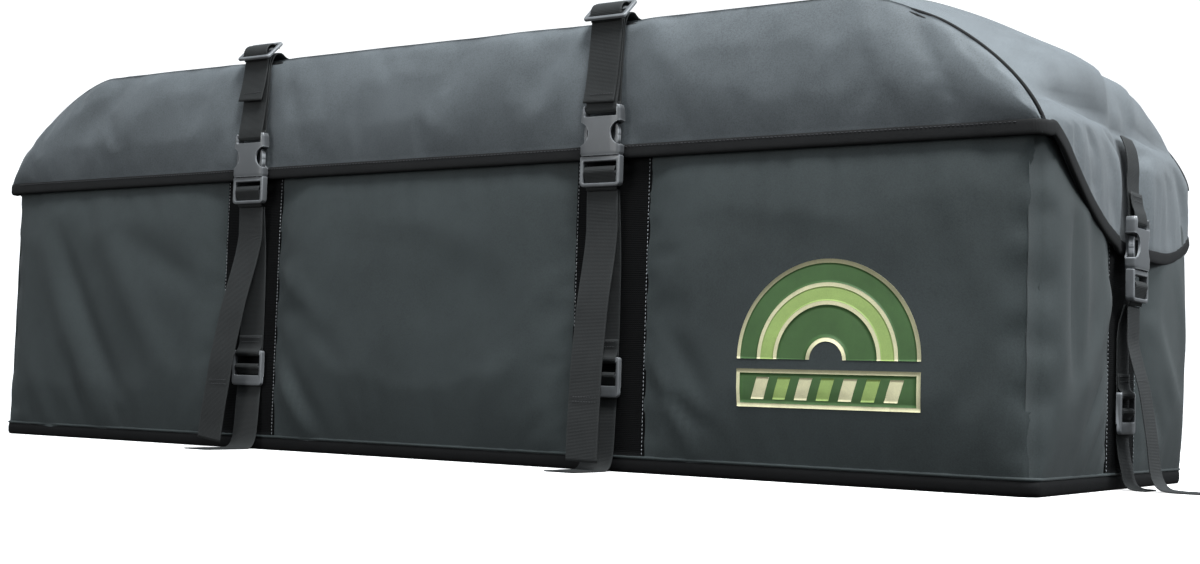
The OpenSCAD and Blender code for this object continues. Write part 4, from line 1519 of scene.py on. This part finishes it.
for name, piece in (("front_left", "left"), ("front_right", "right")):
    mouth = mouth_of(name)
    bar_z = mouth + 50 * mm
    under = ribbon("run", ridge_run + side_view(0, *((d, over_crown(d)) for d in crown_d)) + back_run)
    turn = [(14.1 * mm, bar_z + 8 * mm), *round_bar(core, bar_z, 3.3 * mm, 180, 360, 10),
            (20.6 * mm, bar_z + 8 * mm)]
    climb = side_view(0, (18.6, 404), (15.2, 430), (13.4, 455), (12.6, 472), (11.2, 482), (8.0, 490))
    second = ribbon("second", turn + climb, width=web_w - 0.3 * mm)
    if piece == "left":
        hang = side_view(0, (9.2, 497), (12.9, 489), (14.6, 480), (15.6, 468), (18.6, 448), (22.6, 430))
        end_row = hem("sew", 0, 20.4 * mm, 440 * mm, rows=2)
    else:
        hang = side_view(0, (9.2, 497), (12.9, 489), (14.6, 480), (15.4, 466), (16.8, 440),
                         (20.0, 410), (23.6, 392))
        end_row = hem("sew", 0, 22.0 * mm, 401 * mm, rows=1)
    free = ribbon("free", hang, width=web_w - 0.2 * mm,
                  lean=lambda z: -0.03 * (0.49 - z) if z < 0.49 else 0.0)
    made = join(piece + "_lid_strap_webbing", [under, second, free, *end_row])
    place_at(made, name, "lid", "webbing", piece + "_lid_strap")

    glide = build_glide()
    tilt = Matrix.Translation((0, -10 * mm, ridge_z + 12 * mm)) @ Matrix.Rotation(math.radians(-48), 4, "X")
    glide.data.transform(tilt)
    glide.name = piece + "_tri_glide_moulding"
    place_at(glide, name, "lid", "buckle_plastic", piece + "_tri_glide")
    rise = ((5.4, -13.5), (1.0, -11), (-4.0, -8), (-6.6, -3))
    bridge = [tilt @ Vector((0, y * mm, z * mm)) for y, z in (*rise, *((y, -z) for y, z in rise[::-1]))]
    over = strap(piece + "_glide_webbing", curve_through(bridge, 2 * mm), (1, 0, 0), width=web_w - 0.4 * mm)
    place_at(over, name, "lid", "webbing")

for name in ("left_end", "right_end"):
    bar_z = mouth_of(name) + 50 * mm
    rise = side_view(bar_z, (14.1, 0), (13.8, 16), (11.8, 38), (12.2, 58), (9.5, 76), (4.5, 88))
    turn = [*round_bar(core, bar_z, 3.3 * mm, 180, 360, 10),
            *side_view(bar_z, (20.2, 8), (17.2, 17), (15.4, 30))]
    parts = [ribbon("run", rise),
             ribbon("turn", side_view(bar_z, (14.1, 6)) + turn, width=web_w - 0.4 * mm)]
    parts += hem("sew", 0, 16.3 * mm, bar_z + 26 * mm, rows=2)
    made = join(name + "_upper_webbing", parts)
    place_at(made, name, "lid", "webbing", name + "_upper_strap")

# %% [markdown]
# ## The fabric hinge
# A strip of webbing joins tub and lid along the back. Its lower edge is sewn to the tub and its
# upper edge to the lid. Here it is one fixed shell that rides on neither body.

# %% Hinge strip
hinge_low, hinge_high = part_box("hinge_strip")
hinge_half = (hinge_high.x - hinge_low.x) / 2
hinge_grid = np.array([[(x, half_w + (7.5 + 1.0 * math.sin(math.pi * (z - hinge_low.z) / 0.062)) * mm
                         + 0.8 * mm * ripple(x, z, 0.09, 61), z)
                        for z in np.linspace(hinge_low.z, edge_z + 26 * mm, 24)]
                       for x in np.linspace(-hinge_half, hinge_half, 120)])
hinge = shell_from("hinge_webbing", hinge_grid, 1.6 * mm, band_webbing, (0, 1, 0))
uv = hinge.data.uv_layers.new(name="UVMap").data
for loop, spot in zip(hinge.data.loops, uv):
    p = hinge.data.vertices[loop.vertex_index].co
    spot.uv = (p.z - edge_z, p.x)
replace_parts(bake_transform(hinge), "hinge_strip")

# %% [markdown]
# ## Stage and light
# A round white sweep and large soft lights, as in a small-parts studio. The key comes from high on
# the right and a little behind, so it grazes the top and the right end and leaves the long
# front in soft shade. A weak fill from the front keeps detail in the black webbing.

# %% Stage
rings = [(r, 0.0) for r in np.linspace(0.01, 7.5, 12)]
rings += [(7.5 + 2.5 * math.sin(a), 2.5 - 2.5 * math.cos(a)) for a in np.linspace(0.12, math.pi / 2, 10)]
rings += [(10.0, z) for z in np.linspace(3.2, 11, 5)]
stage_grid = np.array([[(r * math.cos(a), r * math.sin(a), z) for r, z in rings]
                       for a in np.linspace(0, 2 * math.pi, 97)])


def paper(place, colour):
    tooth = noise_of(place, 3.0, 3.0)
    return {"Roughness": 0.85 + 0.05 * tooth}


white_paper = finish_of("white_paper", (0.8, 0.8, 0.8), paper, Emission_Strength=0.72,
                        Emission_Color=(1, 1, 1, 1), Base_Color=(0.8, 0.8, 0.8, 1))
backdrop = new_object("backdrop_sweep", stage_grid.reshape(-1, 3),
                      grid_faces(*stage_grid.shape[:2]), white_paper)
backdrop.visible_diffuse = backdrop.visible_glossy = backdrop.visible_shadow = False


# %% Lights
def lamp(name, place, aim, size, watts, colour=(1, 1, 1)):
    data = bpy.data.lights.new(name, "AREA")
    data.shape, data.size, data.energy, data.color = "DISK", size, watts, colour
    made = bpy.data.objects.new(name, data)
    bpy.context.scene.collection.objects.link(made)
    made.location = place
    made.rotation_euler = (Vector(aim) - Vector(place)).to_track_quat("-Z", "Y").to_euler()
    return made


lamp("overhead", (1.3, -1.1, 3.0), (0.0, -0.1, 0.25), 1.1, 150, (0.95, 0.98, 1.0))
lamp("key", (3.4, 0.9, 2.6), (0.3, 0, 0.4), 1.6, 150, (0.93, 0.97, 1.0))
lamp("front_fill", (-1.2, -4.8, 1.1), (0.1, 0, 0.3), 2.2, 58)

world = bpy.data.worlds.new("studio")
bpy.context.scene.world = world
world.use_nodes = True
sky = world.node_tree.nodes["Background"]
direction = Value(world.node_tree, world.node_tree.nodes.new("ShaderNodeTexCoord").outputs["Generated"])
height = axes_of(direction)[2].smooth(-0.35, 0.85)
world.node_tree.links.new(height.mix((0.10, 0.10, 0.10, 1), (0.85, 0.93, 1.0, 1)).socket, sky.inputs["Color"])
sky.inputs["Strength"].default_value = 1.0
bpy.context.scene.view_settings.view_transform = "Standard"
bpy.context.scene.view_settings.look = "None"
